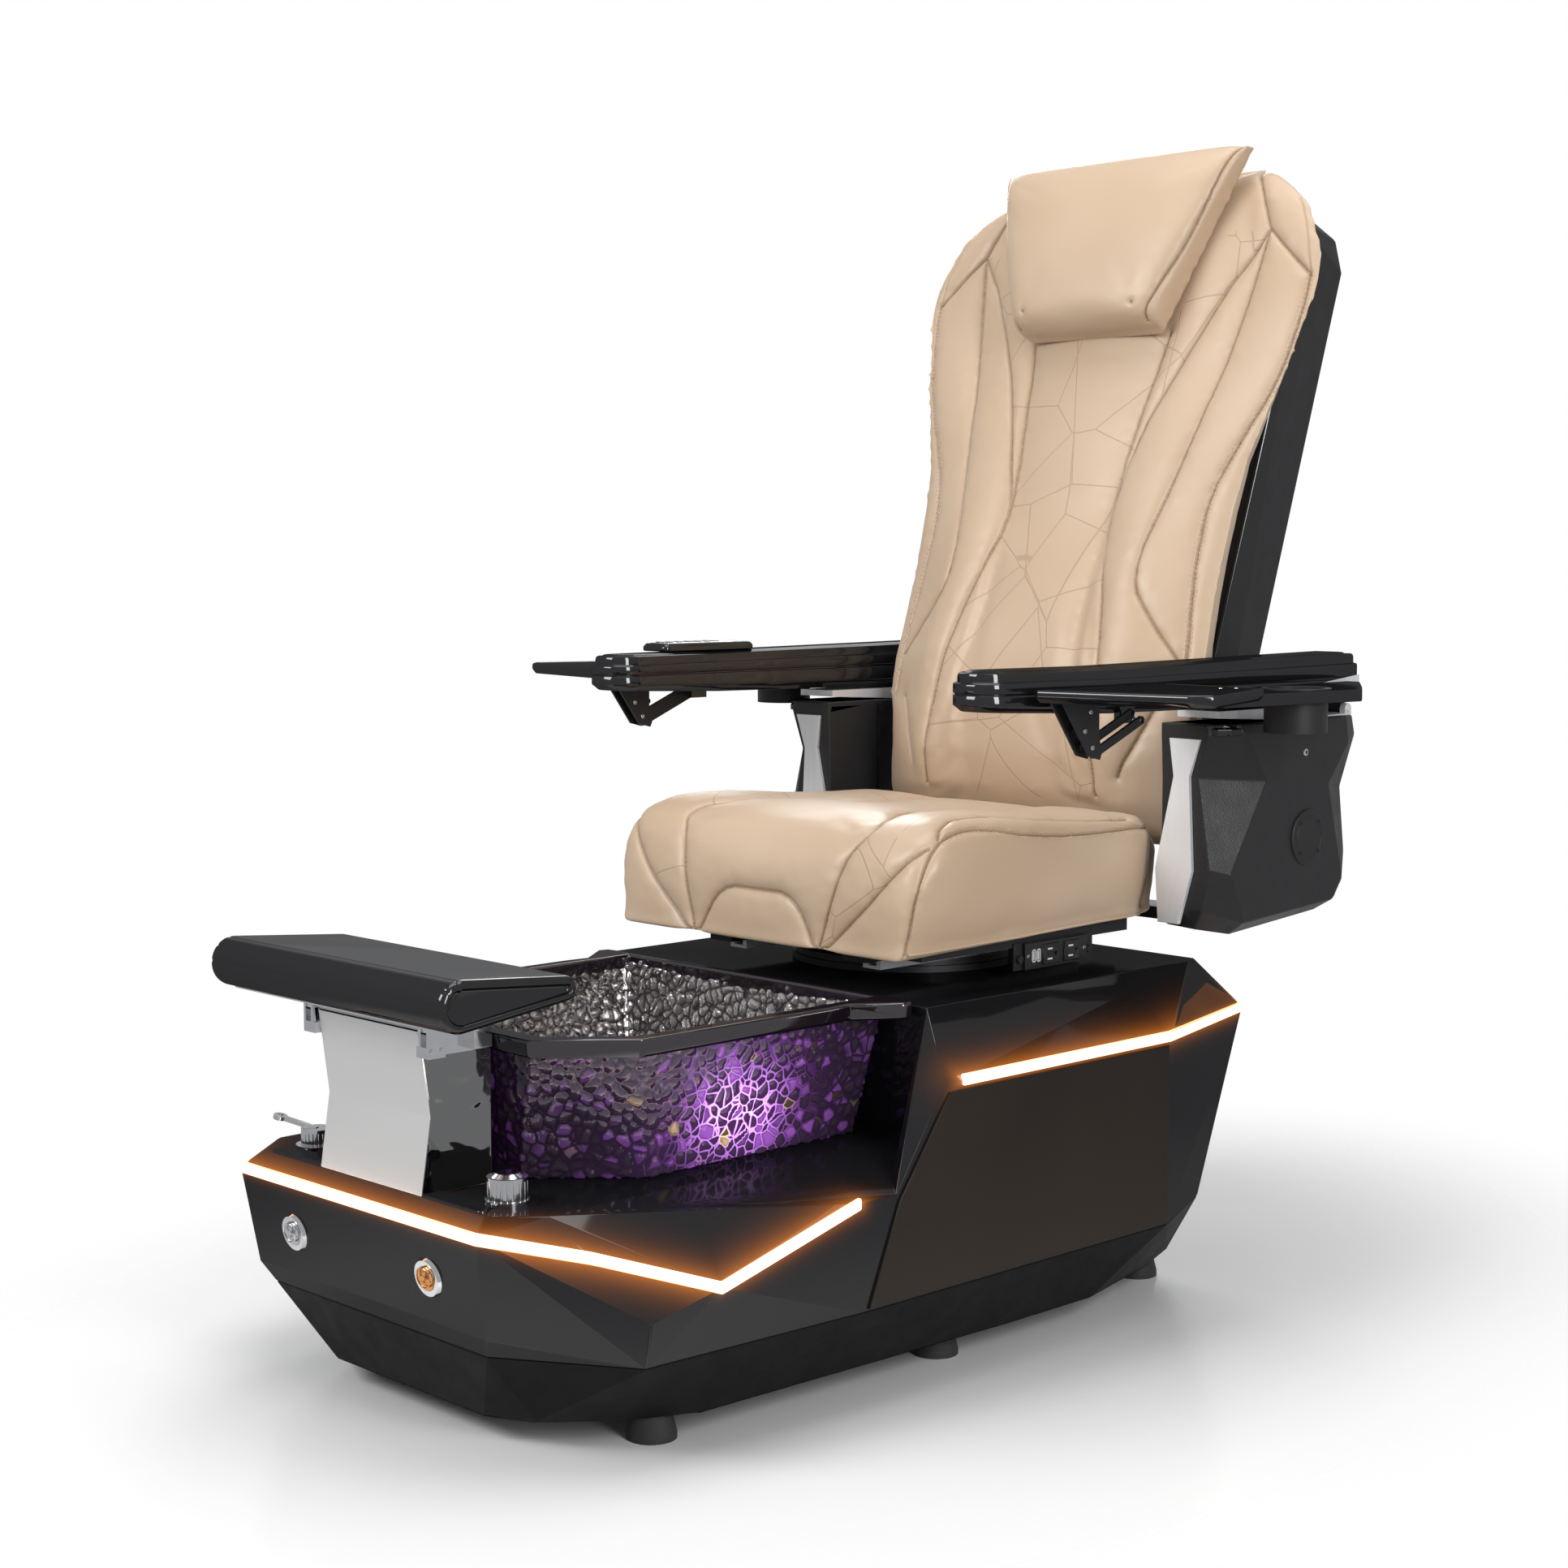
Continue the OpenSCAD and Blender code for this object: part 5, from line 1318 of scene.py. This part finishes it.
class BuildBase(Operator):
    """Builds the base's mouldings, side panels and feet"""

    bl_idname = "chair.base"
    bl_label = "Base mouldings"

    def execute(self, context):
        rounded("base_shell", "base_moulding", "lit_lacquer", "gloss_black", width=0.0016, shortest=18,
                smooth=12, skip=self.beside_strip)
        rounded("base_skirt", "skirt_moulding", "skirt", "satin_black", width=0.003, smooth=12)
        rounded("side_panels", "smoked_panels", "side_panel", "side_panel", width=0.001)
        dress("dark_steel", "floor_pan")
        dress("rubber", "levelling_feet")
        dress("satin", "control_box")
        self.lip()
        return {"FINISHED"}

    @staticmethod
    def beside_strip(edge):
        """Whether an edge starts or ends close to a lit strip."""
        for vert in edge.verts:
            spot = Vector((abs(vert.co.x), vert.co.y, vert.co.z))
            for line in (FRONT_LIGHT, REAR_LIGHT):
                for a, b in zip(line, line[1:]):
                    a, b = Vector(a), Vector(b)
                    share = min(1.0, max(0.0, (spot - a).dot(b - a) / (b - a).length_squared))
                    if (spot - a.lerp(b, share)).length < SHARP_NEAR_STRIP:
                        return True
        return False

    def lip(self):
        """The raised lip along the front of the deck."""
        half, front, deck = SIDE_X / MM - 158, FRONT_Y / MM + 23.5, 270
        outline = cornered([(-half, 0, 6), (half, 0, 6), (half - 26, 30, 8), (26 - half, 30, 8)])
        bm = bmesh.new()
        stacked(bm, outline, [(-2, 0), (1.2, 0), (2.6, 0.8), (3.0, 2.4)],
                lambda x, y, h: Vector((x, front + y, deck + h)) * MM)
        piece("deck_lip", mesh_from(bm, "deck_lip"), "base", "lacquer", "gloss_black")


class BuildLights(Operator):
    """Builds the lit strips"""

    bl_idname = "chair.lights"
    bl_label = "Lit strips"

    def execute(self, context):
        for node in ("front_light_strip", "rear_light_strip"):
            rounded(node, node + "_lens", "strip_light", "light_strip", width=0.0012)
        return {"FINISHED"}


class BuildTub(Operator):
    """Builds the hammered glass tub, its rim, drain and jet"""

    bl_idname = "chair.tub"
    bl_label = "Foot tub"

    def execute(self, context):
        tub = settings("tub")
        net_step = 0.0034
        made = grown("pebbles", remeshed("tub_bowl", net_step), Cells=tub.cells, Relief=tub.relief,
                     Finish=finish("hammered_glass"))
        made.polygons.foreach_set("use_smooth", [True] * len(made.polygons))
        co, normal = places_of(made), normals_of(made)
        low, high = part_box("tub_bowl")
        away = (co - np.array((low + high) / 2)) * (1, 1, 0)
        outward = np.einsum("ij,ij->i", normal, away) > 0
        layer = made.attributes.new("outer", "FLOAT", "POINT")
        layer.data.foreach_set("value", outward.astype(np.float32))
        piece("hammered_bowl", made, "base", None, "purple_glass", ("tub_bowl",))
        rounded("tub_rim", "tub_rim_bead", "rim_lacquer", "rim_black", width=0.0045, segments=4,
                shortest=2.5, also=self.deeper)
        dress("chrome", "tub_drain", "jet_impeller")
        dress("satin", "jet_cover")
        dress("dark_steel", "jet_motor")
        return {"FINISHED"}

    @staticmethod
    def deeper(bm):
        """Draws the rim's foot down over the glass, so that it makes a deep bead."""
        foot, bead_drop = min(v.co.z for v in bm.verts), 0.011
        for vert in bm.verts:
            if vert.co.z < foot + 0.001:
                vert.co.z -= bead_drop


# How far the middle of a button's sloping face lies below its top
FACE_BELOW_TOP = 0.0138


class BuildValves(Operator):
    """Finishes the deck valves and the front buttons"""

    bl_idname = "chair.valves"
    bl_label = "Valves and buttons"

    def execute(self, context):
        dress("chrome", "valve_bodies", "mixer_lever", "diverter_knob", "button_bezels")
        dress("steel", "right_button")
        dress("copper", "left_button")
        self.marks()
        return {"FINISHED"}

    def marks(self):
        """Rings and dimples on the buttons' faces."""
        for node, look in (("right_button", "steel"), ("left_button", "copper")):
            low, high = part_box(node)
            middle = Vector(((low.x + high.x) / 2, low.y, high.z - FACE_BELOW_TOP))
            spot = facing(middle + FRONT_FACE * 0.0002, FRONT_FACE, (1, 0, 0))
            bm = bmesh.new()
            turned(bm, [(0.0116, 0), (0.0116, 0.0011), (0.0108, 0.0016), (0.0100, 0.0011), (0.0100, 0)],
                   spot, 40)
            turned(bm, [(0, 0.0012), (0.0030, 0.0012), (0.0034, 0.0006), (0.0034, 0)], spot, 24)
            for k in range(4):
                turn, out = math.tau * (k + 0.5) / 4, 0.0068
                dot = Matrix.Translation((out * math.cos(turn), out * math.sin(turn), 0))
                turned(bm, [(0, 0.001), (0.0009, 0.0008), (0.0011, 0)], spot @ dot, 10)
            bmesh.ops.recalc_face_normals(bm, faces=bm.faces)
            piece(node + "_marks", mesh_from(bm, node + "_marks"), body_of(node), look, look)


class BuildFootrest(Operator):
    """Builds the footrest's pad, pedestal and brackets"""

    bl_idname = "chair.footrest"
    bl_label = "Footrest"

    def execute(self, context):
        self.pad()
        rounded("footrest_pedestal", "bent_pedestal", "polished", "steel", width=0.0015, smooth=12)
        dress("chrome", "footrest_brackets", "footrest_hinge")
        low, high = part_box("footrest_pedestal")
        bm = bmesh.new()
        solid(bm, (low.x - 0.014, low.y + 0.003, high.z),
              (high.x + 0.014, high.y - 0.006, high.z + 0.0035))
        for x in (low.x - 0.0015, high.x):
            solid(bm, (x, low.y + 0.02, high.z - 0.030), (x + 0.0015, high.y - 0.004, high.z + 0.001))
        piece("pedestal_flange", mesh_from(bm, "flange"), "base", "chrome", "chrome")
        return {"FINISHED"}

    def pad(self):
        """The rolled pad: a fat front roll that runs out to a thin rear edge, dished at its ends."""
        low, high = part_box("footrest_pad")
        roll, tail = 28.0, 14.0
        roll_steps, tail_steps = 56, 20
        front = low.y / MM + roll
        rear = high.y / MM - tail
        height = (low.z + high.z) / 2 / MM
        run = rear - front
        slope = math.asin((roll - tail) / run)
        outline = []
        for k in range(roll_steps + 1):
            turn = math.pi / 2 - slope + k * (math.pi + 2 * slope) / roll_steps
            dent = sum(math.exp(-((turn - at) / 0.055) ** 2) for at in (1.72, 2.35, 3.05))
            size = roll - 1.1 * dent
            outline.append(Vector((front + size * math.cos(turn), height + size * math.sin(turn))))
        for k in range(tail_steps + 1):
            turn = -math.pi / 2 + slope + k * (math.pi - 2 * slope) / tail_steps
            outline.append(Vector((rear + tail * math.cos(turn), height + 2 + tail * math.sin(turn))))
        half = high.x / MM

        def put(y, z, out):
            taper = 5 * max(0.0, (y - front) / run) ** 1.6
            return Vector((math.copysign(max(0.0, abs(out) - taper), out) * MM, y * MM, z * MM))

        def put_below(y, x, rise):
            """Places the plate against the sloping underside."""
            level = height - roll - 0.4 + rise + (y - front) / run * (roll - tail + 1)
            return Vector((x * MM, y * MM, level * MM))

        ends = [(half - 7, 0), (half - 4.5, 0.5), (half - 1.8, 2.2), (half - 0.3, 5), (half, 7.5),
                (half - 0.8, 8.6), (half - 3.5, 9.6), (half - 5, 11.2), (half - 5.6, 13.2)]
        bm = bmesh.new()
        stacked(bm, outline, [(-out, inset) for out, inset in ends[::-1]] + ends, put)
        body = body_of("footrest_pad")
        piece("footrest_roll", mesh_from(bm, "footrest_roll", 50), body, "pad_lacquer", "gloss_black",
              ("footrest_pad",))
        bm = bmesh.new()
        plate = cornered([(front - 6, -half + 4, 14), (rear - 6, -half + 40, 14),
                          (rear - 6, half - 40, 14), (front - 6, half - 4, 14)])
        stacked(bm, plate, [(0, 0), (1.6, 0)], put_below)
        piece("pad_base_plate", mesh_from(bm, "pad_base_plate"), body, "chrome", "chrome")


class BuildUnderSeat(Operator):
    """Finishes the turntable, the slide and the mains outlets"""

    bl_idname = "chair.under_seat"
    bl_label = "Under the seat"

    def execute(self, context):
        dress("dark_steel", "turntable_base", "turntable_top", "slide_actuator")
        dress("brushed", "slide_rails")
        dress("chrome", "actuator_rod")
        dress("satin", "seat_carriage", "outlet_bracket")
        rounded("outlet_module", "outlet_case", "black_plastic", "satin_black", width=0.0006)
        low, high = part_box("outlet_module")
        body = body_of("outlet_module")
        front = high.x - 0.002

        def bar(bm, along, up, out):
            """A bar on the module's face: from and to along it, up it and out of it."""
            (y0, y1), (z0, z1), (x0, x1) = along, up, out
            solid(bm, (front + x0, low.y + y0, low.z + z0), (front + x1, low.y + y1, low.z + z1))

        bm = bmesh.new()
        for y in (0.016, 0.025):
            for z in (0.0085, 0.0230):
                bar(bm, (y - 0.0036, y + 0.0036), (z, z + 0.0015), (-0.001, 0.0008))
            for side in (-0.0036, 0.0026):
                bar(bm, (y + side, y + side + 0.001), (0.0085, 0.0245), (-0.001, 0.0008))
            bar(bm, (y - 0.0008, y + 0.0008), (0.011, 0.022), (-0.003, 0.0004))
        piece("usb_frames", mesh_from(bm, "usb_frames"), body, "white_plastic")
        bm = bmesh.new()
        for y in (0.048, 0.088):
            for z in (0.0096, 0.0222):
                bar(bm, (y - 0.0075, y + 0.0015), (z - 0.0004, z + 0.0016), (0.0015, 0.0024))
        piece("socket_slots", mesh_from(bm, "socket_slots"), body, "white_plastic")
        spots = [((front - 0.0006, low.y + y, low.z + 0.0165), (1, 0, 0)) for y in (0.006, 0.114)]
        spots += [((high.x - 0.0075, y, low.z + 0.014), (1, 0, 0))
                  for y in (low.y - 0.007, high.y + 0.007)]
        studs("outlet_screws", spots, body, "chrome", 0.0028, "chrome")
        return {"FINISHED"}


# Rows of the hourglass housing from its top down: inner front, front ridge, front and rear edges of the
# outer face, rear ridge and inner rear, in millimetres on the sitter's left
HOUSING_ROWS = [
    [(297, 306, 741), (366, 306, 741), (391, 345, 741), (391, 577, 741), (380, 606, 741), (297, 606, 741)],
    [(297, 306, 727), (371, 306, 728), (395, 351, 731), (395, 577, 706), (380, 613, 716), (297, 613, 716)],
    [(297, 309, 672), (353, 309, 673), (396, 395, 667), (396, 531, 655), (380, 581, 648), (297, 581, 648)],
    [(297, 309, 557), (372, 309, 558), (396, 322, 553), (396, 566, 531), (380, 592, 565), (297, 592, 565)],
    [(297, 309, 500), (362, 309, 506), (394, 353, 490), (394, 549, 503), (380, 590, 524), (297, 590, 524)],
    [(297, 322, 482), (341, 322, 480), (366, 360, 472), (366, 545, 486), (362, 572, 500), (297, 572, 500)],
]
# The bow-tie facing from its foot up: height, inner and outer edge
BOW_TIE = [(487, 297, 329), (556, 292, 349), (674, 319, 343), (722, 312, 360)]


class BuildHousings(Operator):
    """Builds the arm housings with their steel facings and covers"""

    bl_idname = "chair.housings"
    bl_label = "Arm housings"

    def execute(self, context):
        for side in SIDES:
            self.housing(side)
            self.strip(side)
            self.covers(side)
        dress("brushed", "rest_plates")
        dress("dark_steel", "arm_posts")
        rounded("arm_collars", "arm_collar_blocks", "lacquer", "gloss_black", width=0.0016)
        return {"FINISHED"}

    def housing(self, side):
        """The hourglass shell, faceted on its outer face."""
        bm = bmesh.new()
        netted(bm, [[on_side(side, *p) for p in row] for row in HOUSING_ROWS])
        mesh = bevelled(bm, side + "_housing", 0.0022, angle=6, smooth=5, segments=3)
        piece(side + "_housing_shell", mesh, body_of(side + "_arm_housing"), "grained", "satin_black",
              (side + "_arm_housing",))

    def strip(self, side):
        """The bow-tie facing of brushed steel on the housing's front."""
        front, rear = 303.5, 309.5
        bm = bmesh.new()
        netted(bm, [[on_side(side, *p, z)
                     for p in ((low, front), (high, front), (high, rear), (low, rear))]
                    for z, low, high in BOW_TIE])
        name = side + "_bow_tie"
        mesh = bevelled(bm, name, 0.0006, smooth=20)
        piece(name, mesh, body_of("housing_strips"), "brushed", "steel",
              ("housing_strips",) if side == "left" else ())

    def covers(self, side):
        """The round cover with its screws and ring, and the small cover above it."""
        low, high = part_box("housing_discs")
        x, y, z = high.x / MM, (low.y + high.y) / 2 / MM, 589
        small_y, small_z, ring = y - 6, 699, 27
        face = facing(on_side(side, x - 4.2, y, z), (SIDES[side], 0, 0))
        bm = bmesh.new()
        turned(bm, [(0, 3.2), (25, 3.2), (25.5, 3.7), (27, 3.7), (27.5, 3.2), (34.2, 3.2), (35.6, 2.6),
                    (36.5, 1.4), (36.5, -3)], face @ Matrix.Scale(MM, 4), 64)
        small = facing(on_side(side, 391, small_y, small_z), (SIDES[side], 0, 0))
        turned(bm, [(0, 3.4), (11, 3.4), (12.2, 3.0), (13.8, 1.6), (14, -3)],
               small @ Matrix.Scale(MM, 4), 40)
        bmesh.ops.recalc_face_normals(bm, faces=bm.faces)
        body, outward = body_of("housing_discs"), (SIDES[side], 0, 0)
        piece(side + "_covers", mesh_from(bm, "covers", 30), body, "satin", "satin_black",
              ("housing_discs",) if side == "left" else ())
        spots = [(on_side(side, x - 1, y + ring * math.cos(a), z + ring * math.sin(a)), outward)
                 for a in (math.pi / 4 + k * math.pi / 2 for k in range(4))]
        studs(side + "_cover_screws", spots, body, "dark_steel", 0.0026, "dark_steel")
        studs(side + "_small_screw", [(on_side(side, 394.2, small_y, small_z), outward)], body,
              "chrome", 0.005, "chrome")


class BuildArms(Operator):
    """Builds the armrests, trays, leaves and cup holders"""

    bl_idname = "chair.arms"
    bl_label = "Arms and trays"

    def execute(self, context):
        for side in SIDES:
            self.arm(side)
            self.leaf(side)
            rounded(side + "_tray", side + "_rear_tray", "lacquer", "gloss_black", width=0.0018,
                    segments=3)
            dress("satin", side + "_cup_holder", side + "_upper_link", side + "_lower_link",
                  side + "_leaf_bracket")
        self.remote()
        return {"FINISHED"}

    def arm(self, side):
        """The armrest: a stepped body that rises to its round head, with a grooved pad on top."""
        low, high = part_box("left_armrest")
        head, rear, top = low.y / MM, high.y / MM, 820.0
        outline = cornered([(281, head, 38), (361, head, 38), (381, head + 199, 120),
                            (381, rear, 7), (306, rear, 7), (306, head + 199, 120)])

        def put(x, y, z):
            rise = 15 * min(1.0, max(0.0, (275 - y) / 370))
            squeeze = rise * min(1.0, max(0.0, (795 - z) / 38))
            lift = 5.0 * max(0.0, (y - 150) / 470) * min(1.0, max(0.0, (z - 795) / 12))
            return on_side(side, x, y, z + squeeze + lift)

        levels = [(757, 11), (757.6, 9), (767.5, 1.2), (769, 0.2), (771, 0), (787, 0), (788.4, 0.7),
                  (789, 2), (791, 2), (791.6, 0.7), (793, 0), (803, 0), (804.4, 0.8), (805, 2.4),
                  (805, 4.2), (805.8, 5), (812, 5), (815.4, 6), (816.8, 8.2), (top - 3, 11),
                  (top - 3.4, 12.6), (top - 3, 14), (top - 1.4, 16), (top - 0.9, 20)]
        bm = bmesh.new()
        stacked(bm, outline, levels, put)
        solid(bm, (0.375, 0.114, 0.752), (0.3835, 0.142, 0.772))
        moved_over(bm, side)
        body = body_of(side + "_armrest")
        name = side + "_arm_pad"
        piece(name, mesh_from(bm, name, 40), body, "lacquer", "gloss_black", (side + "_armrest",))
        bm = bmesh.new()
        blade = [(470, 779), (rear - 1, 794), (rear - 1, 774), (480, 777)]
        netted(bm, [[on_side(side, x, *p) for p in blade] for x in (380.5, 382.2)])
        name = side + "_arm_accent"
        piece(name, bevelled(bm, name, 0.0004, smooth=20), body, "brushed", "steel")
        bm = bmesh.new()
        turned(bm, [(0, 0), (5.8, 0), (5.8, 49), (0, 49)],
               facing(on_side("left", 319, 601, 749), (1, 0, 0)) @ Matrix.Scale(MM, 4), 24)
        solid(bm, (0.319, 0.5952, 0.749), (0.368, 0.6068, 0.760))
        moved_over(bm, side)
        name = side + "_arm_knuckle"
        piece(name, mesh_from(bm, name), body, "dark_steel", "dark_steel")
        links = [on_side(side, 390, y, z) for y, z in ((122, 765), (133, 756))]
        studs(side + "_stay_pins", [(p, (SIDES[side], 0, 0)) for p in links], body, "steel", 0.0034,
              "steel")

    def leaf(self, side):
        """The tray leaf: a thin plate with a bead round its top."""
        low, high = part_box("left_leaf")
        x0, x1, y0, y1 = (c / MM for c in (low.x, high.x, low.y, high.y))
        outline = cornered([(x0, y0, 5), (x1 - 16, y0 + 38, 20), (x1 + 4, y0 + 60, 14),
                            (x1 - 52, y1 - 4, 14), (x1 - 70, y1, 8), (x0, y1, 4)])
        foot, top = low.z / MM, high.z / MM
        levels = [(foot, 6), (foot + 0.6, 4.6), (foot + 5.5, 0.8), (foot + 7, 0), (top - 3.6, 0),
                  (top - 1.6, 0.5), (top - 0.4, 1.7), (top, 3.4), (top, 6), (top - 0.6, 7),
                  (top - 0.6, 9)]
        bm = bmesh.new()
        stacked(bm, outline, levels, lambda x, y, z: on_side(side, x, y, z))
        name = side + "_front_leaf"
        body = body_of(side + "_leaf")
        piece(name, mesh_from(bm, name, 40), body, "lacquer", "gloss_black", (side + "_leaf",))
        pins = [(on_side(side, x, y, top - 1), (0, 0, 1)) for x, y in ((506, 146), (518, 160))]
        studs(side + "_leaf_pins", pins, body, "chrome", 0.0026, "chrome")
        low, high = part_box("left_leaf_bracket")
        ear_y, ear_z = 34, 729
        spots = [(on_side(side, x, y, z), (way * SIDES[side], 0, 0))
                 for x, way in ((high.x / MM - 0.4, 1), (low.x / MM + 0.4, -1))
                 for y, z in ((ear_y, ear_z), (ear_y - 14, ear_z + 20), (ear_y - 4, ear_z + 42))]
        studs(side + "_ear_bolts", spots, body_of(side + "_leaf_bracket"), "steel", 0.0034, "steel")

    def remote(self):
        """The massage remote: a dark case with a bright top plate, rows of keys and a screen."""
        low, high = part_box("remote_control")
        foot, x = low.z / MM, -(low.x + high.x) / 2 / MM
        y0, y1 = low.y / MM, high.y / MM
        body = body_of("remote_control")
        put = partial(on_side, "right")

        def layer(name, blocks, levels, look, slot=None, instead=()):
            """Blocks (left, right, front, rear, radius, rear radius, steps) as one piece."""
            bm = bmesh.new()
            for a, b, c, d, radius, rear, steps in blocks:
                outline = cornered([(a, c, radius), (b, c, radius), (b, d, rear), (a, d, rear)], steps)
                stacked(bm, outline, [(foot + rise, inset) for rise, inset in levels], put)
            piece(name, mesh_from(bm, name, 40), body, look, slot, instead)

        layer("remote_case", [(x - 26, x + 26, y0, y1, 9, 14, 8)],
              [(0, 2), (1, 0.4), (4, 0), (6.5, 0.6), (9.4, 3.4), (10.4, 5)], "lacquer", "gloss_black",
              ("remote_control",))
        layer("remote_plate", [(x - 19, x + 19, y0 + 9, y1 - 34, 6, 6, 8)],
              [(10, 0), (11, 0), (11.4, 0.6)], "steel", "steel")
        keys = [(key_x - 3.6, key_x + 3.6, key_y, key_y + 10, 1.6, 1.6, 3)
                for key_y in (y0 + 16 + row * 17 for row in range(6))
                for key_x in (x - 10.5, x, x + 10.5)]
        layer("remote_keys", keys, [(11, 0), (12.2, 0), (12.6, 0.7)], "black_plastic", "satin_black")
        layer("remote_screen", [(x - 17, x + 17, y1 - 30, y1 - 9, 4, 4, 8)],
              [(9, 0), (10.8, 0), (11, 0.5)], "screen")


class BuildBackShell(Operator):
    """Builds the back's rear case and finishes what it holds"""

    bl_idname = "chair.back_shell"
    bl_label = "Back case"

    def execute(self, context):
        rounded("back_shell", "back_case", "satin", "satin_black", width=0.004)
        trim = [[on_back(side * half, -28, v) for v, half in CASE_TRIM] for side in (1, -1)]
        cord_piece("case_trim", trim, 0.0012, "back", "brushed", "steel")
        bm = bmesh.new()
        inner, front, rear = 210, -27, -25
        for side in (1, -1):
            netted(bm, [[on_back(side * x, y, v)
                         for x, y in ((inner, front), (half, front), (half, rear), (inner, rear))]
                        for v, half in CASE_LINING])
        piece("case_lining", mesh_from(bm, "case_lining"), "back", "satin", "satin_black")
        dress("dark_steel", "back_frame")
        dress("satin", "massage_carriage")
        return {"FINISHED"}


class BuildStage(Operator):
    """Builds the floor, the lights and the camera"""

    bl_idname = "chair.stage"
    bl_label = "Stage"

    def execute(self, context):
        scene = context.scene
        stage = settings("stage")
        bm = bmesh.new()
        bmesh.ops.create_grid(bm, x_segments=2, y_segments=2, size=30)
        floor = bpy.data.objects.new("floor", mesh_from(bm, "floor"))
        scene.collection.objects.link(floor)
        f = Finish("floor")
        f.set(Base_Color=f.blend(f.noise(0.7), (0.86, 0.86, 0.86), (0.88, 0.88, 0.88)), Roughness=0.20,
              Specular_IOR_Level=0.5)
        clear = f.add("ShaderNodeBsdfTransparent")
        fade = f.add("ShaderNodeMixShader")
        away = f.vector("LENGTH", f.stretched((1.5, 1.0, 1.0)))
        f.join(f.between(away, *FLOOR_FADE, smooth=True), fade.inputs[0])
        f.join(f.shader.outputs[0], fade.inputs[1])
        f.join(clear.outputs[0], fade.inputs[2])
        f.join(fade.outputs[0], f.end.inputs["Surface"])
        floor.data.materials.append(f.material)
        self.sky(scene)
        for name, at, target, size, power in LAMPS:
            lamp = bpy.data.lights.new(name, "AREA")
            lamp.shape = "RECTANGLE"
            lamp.size, lamp.size_y = size
            lamp.energy = power
            obj = bpy.data.objects.new(name, lamp)
            scene.collection.objects.link(obj)
            obj.location = at
            obj.rotation_euler = (Vector(target) - Vector(at)).to_track_quat("-Z", "Y").to_euler()
        camera = bpy.data.cameras.new("camera")
        camera.lens = stage.lens
        camera.sensor_width = 36
        camera.clip_end = 100
        view = bpy.data.objects.new("camera", camera)
        scene.collection.objects.link(view)
        view.location = stage.eye
        view.rotation_euler = (math.pi / 2 - stage.tilt, 0, stage.turn)
        scene.camera = view
        scene.view_settings.view_transform = "Standard"
        return {"FINISHED"}

    def sky(self, scene):
        """White to the eye, and a soft grey room to the light."""
        world = bpy.data.worlds.new("studio")
        scene.world = world
        world.use_nodes = True
        nodes = Nodes(world.node_tree)
        nodes.tree.nodes.clear()
        seen = nodes.step("ShaderNodeLightPath", {}, "Is Camera Ray")
        room = nodes.step("ShaderNodeBackground", {0: (0.97, 0.98, 1.0, 1), 1: 0.42})
        white = nodes.step("ShaderNodeBackground", {0: (1, 1, 1, 1), 1: 1.0})
        both = nodes.step("ShaderNodeMixShader", {0: seen, 1: room, 2: white})
        nodes.join(both, nodes.add("ShaderNodeOutputWorld").inputs[0])


# Name, place, what it points at, size and power of each lamp
LAMPS = [
    ("key", (-1.0, -3.4, 2.6), (0, -0.1, 0.8), (2.0, 1.4), 88),
    ("side", (3.4, -0.9, 1.7), (0, 0, 0.7), (0.9, 2.2), 72),
    ("top", (0.2, 0.0, 3.4), (0, 0.1, 0.5), (2.2, 2.2), 44),
    ("rear", (-2.4, 2.6, 2.2), (0, 0.2, 0.8), (1.6, 1.6), 45),
]
# From where to where the floor fades out round the chair
FLOOR_FADE = (0.80, 1.50)

OPERATORS = (BuildStage, BuildBase, BuildLights, BuildTub, BuildValves, BuildFootrest, BuildUnderSeat,
             BuildHousings, BuildArms, BuildBackShell, BuildSeat, BuildBack, BuildPillow)


class SpaChairPanel(Panel):
    """Lists the chair's settings and the operators that build it"""

    bl_idname = "VIEW3D_PT_spa_chair"
    bl_label = "Spa Chair"
    bl_space_type = "VIEW_3D"
    bl_region_type = "UI"
    bl_category = "Spa Chair"

    def draw(self, context):
        for name, group in SETTINGS.items():
            box = self.layout.box()
            box.label(text=group.__doc__)
            for key in group.__annotations__:
                box.prop(getattr(context.scene, name), key)
        for operator in OPERATORS:
            self.layout.operator(operator.bl_idname)


CLASSES = (*SETTINGS.values(), *OPERATORS, SpaChairPanel)


def register():
    for cls in CLASSES:
        bpy.utils.register_class(cls)
    for name, group in SETTINGS.items():
        setattr(bpy.types.Scene, name, PointerProperty(type=group))


def unregister():
    for name in SETTINGS:
        delattr(bpy.types.Scene, name)
    for cls in reversed(CLASSES):
        bpy.utils.unregister_class(cls)


def main():
    """Registers the add-on and builds every piece in order."""
    register()
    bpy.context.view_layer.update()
    for operator in OPERATORS:
        _, _, name = operator.bl_idname.partition(".")
        getattr(bpy.ops.chair, name)()


if __name__ == "__main__":
    main()
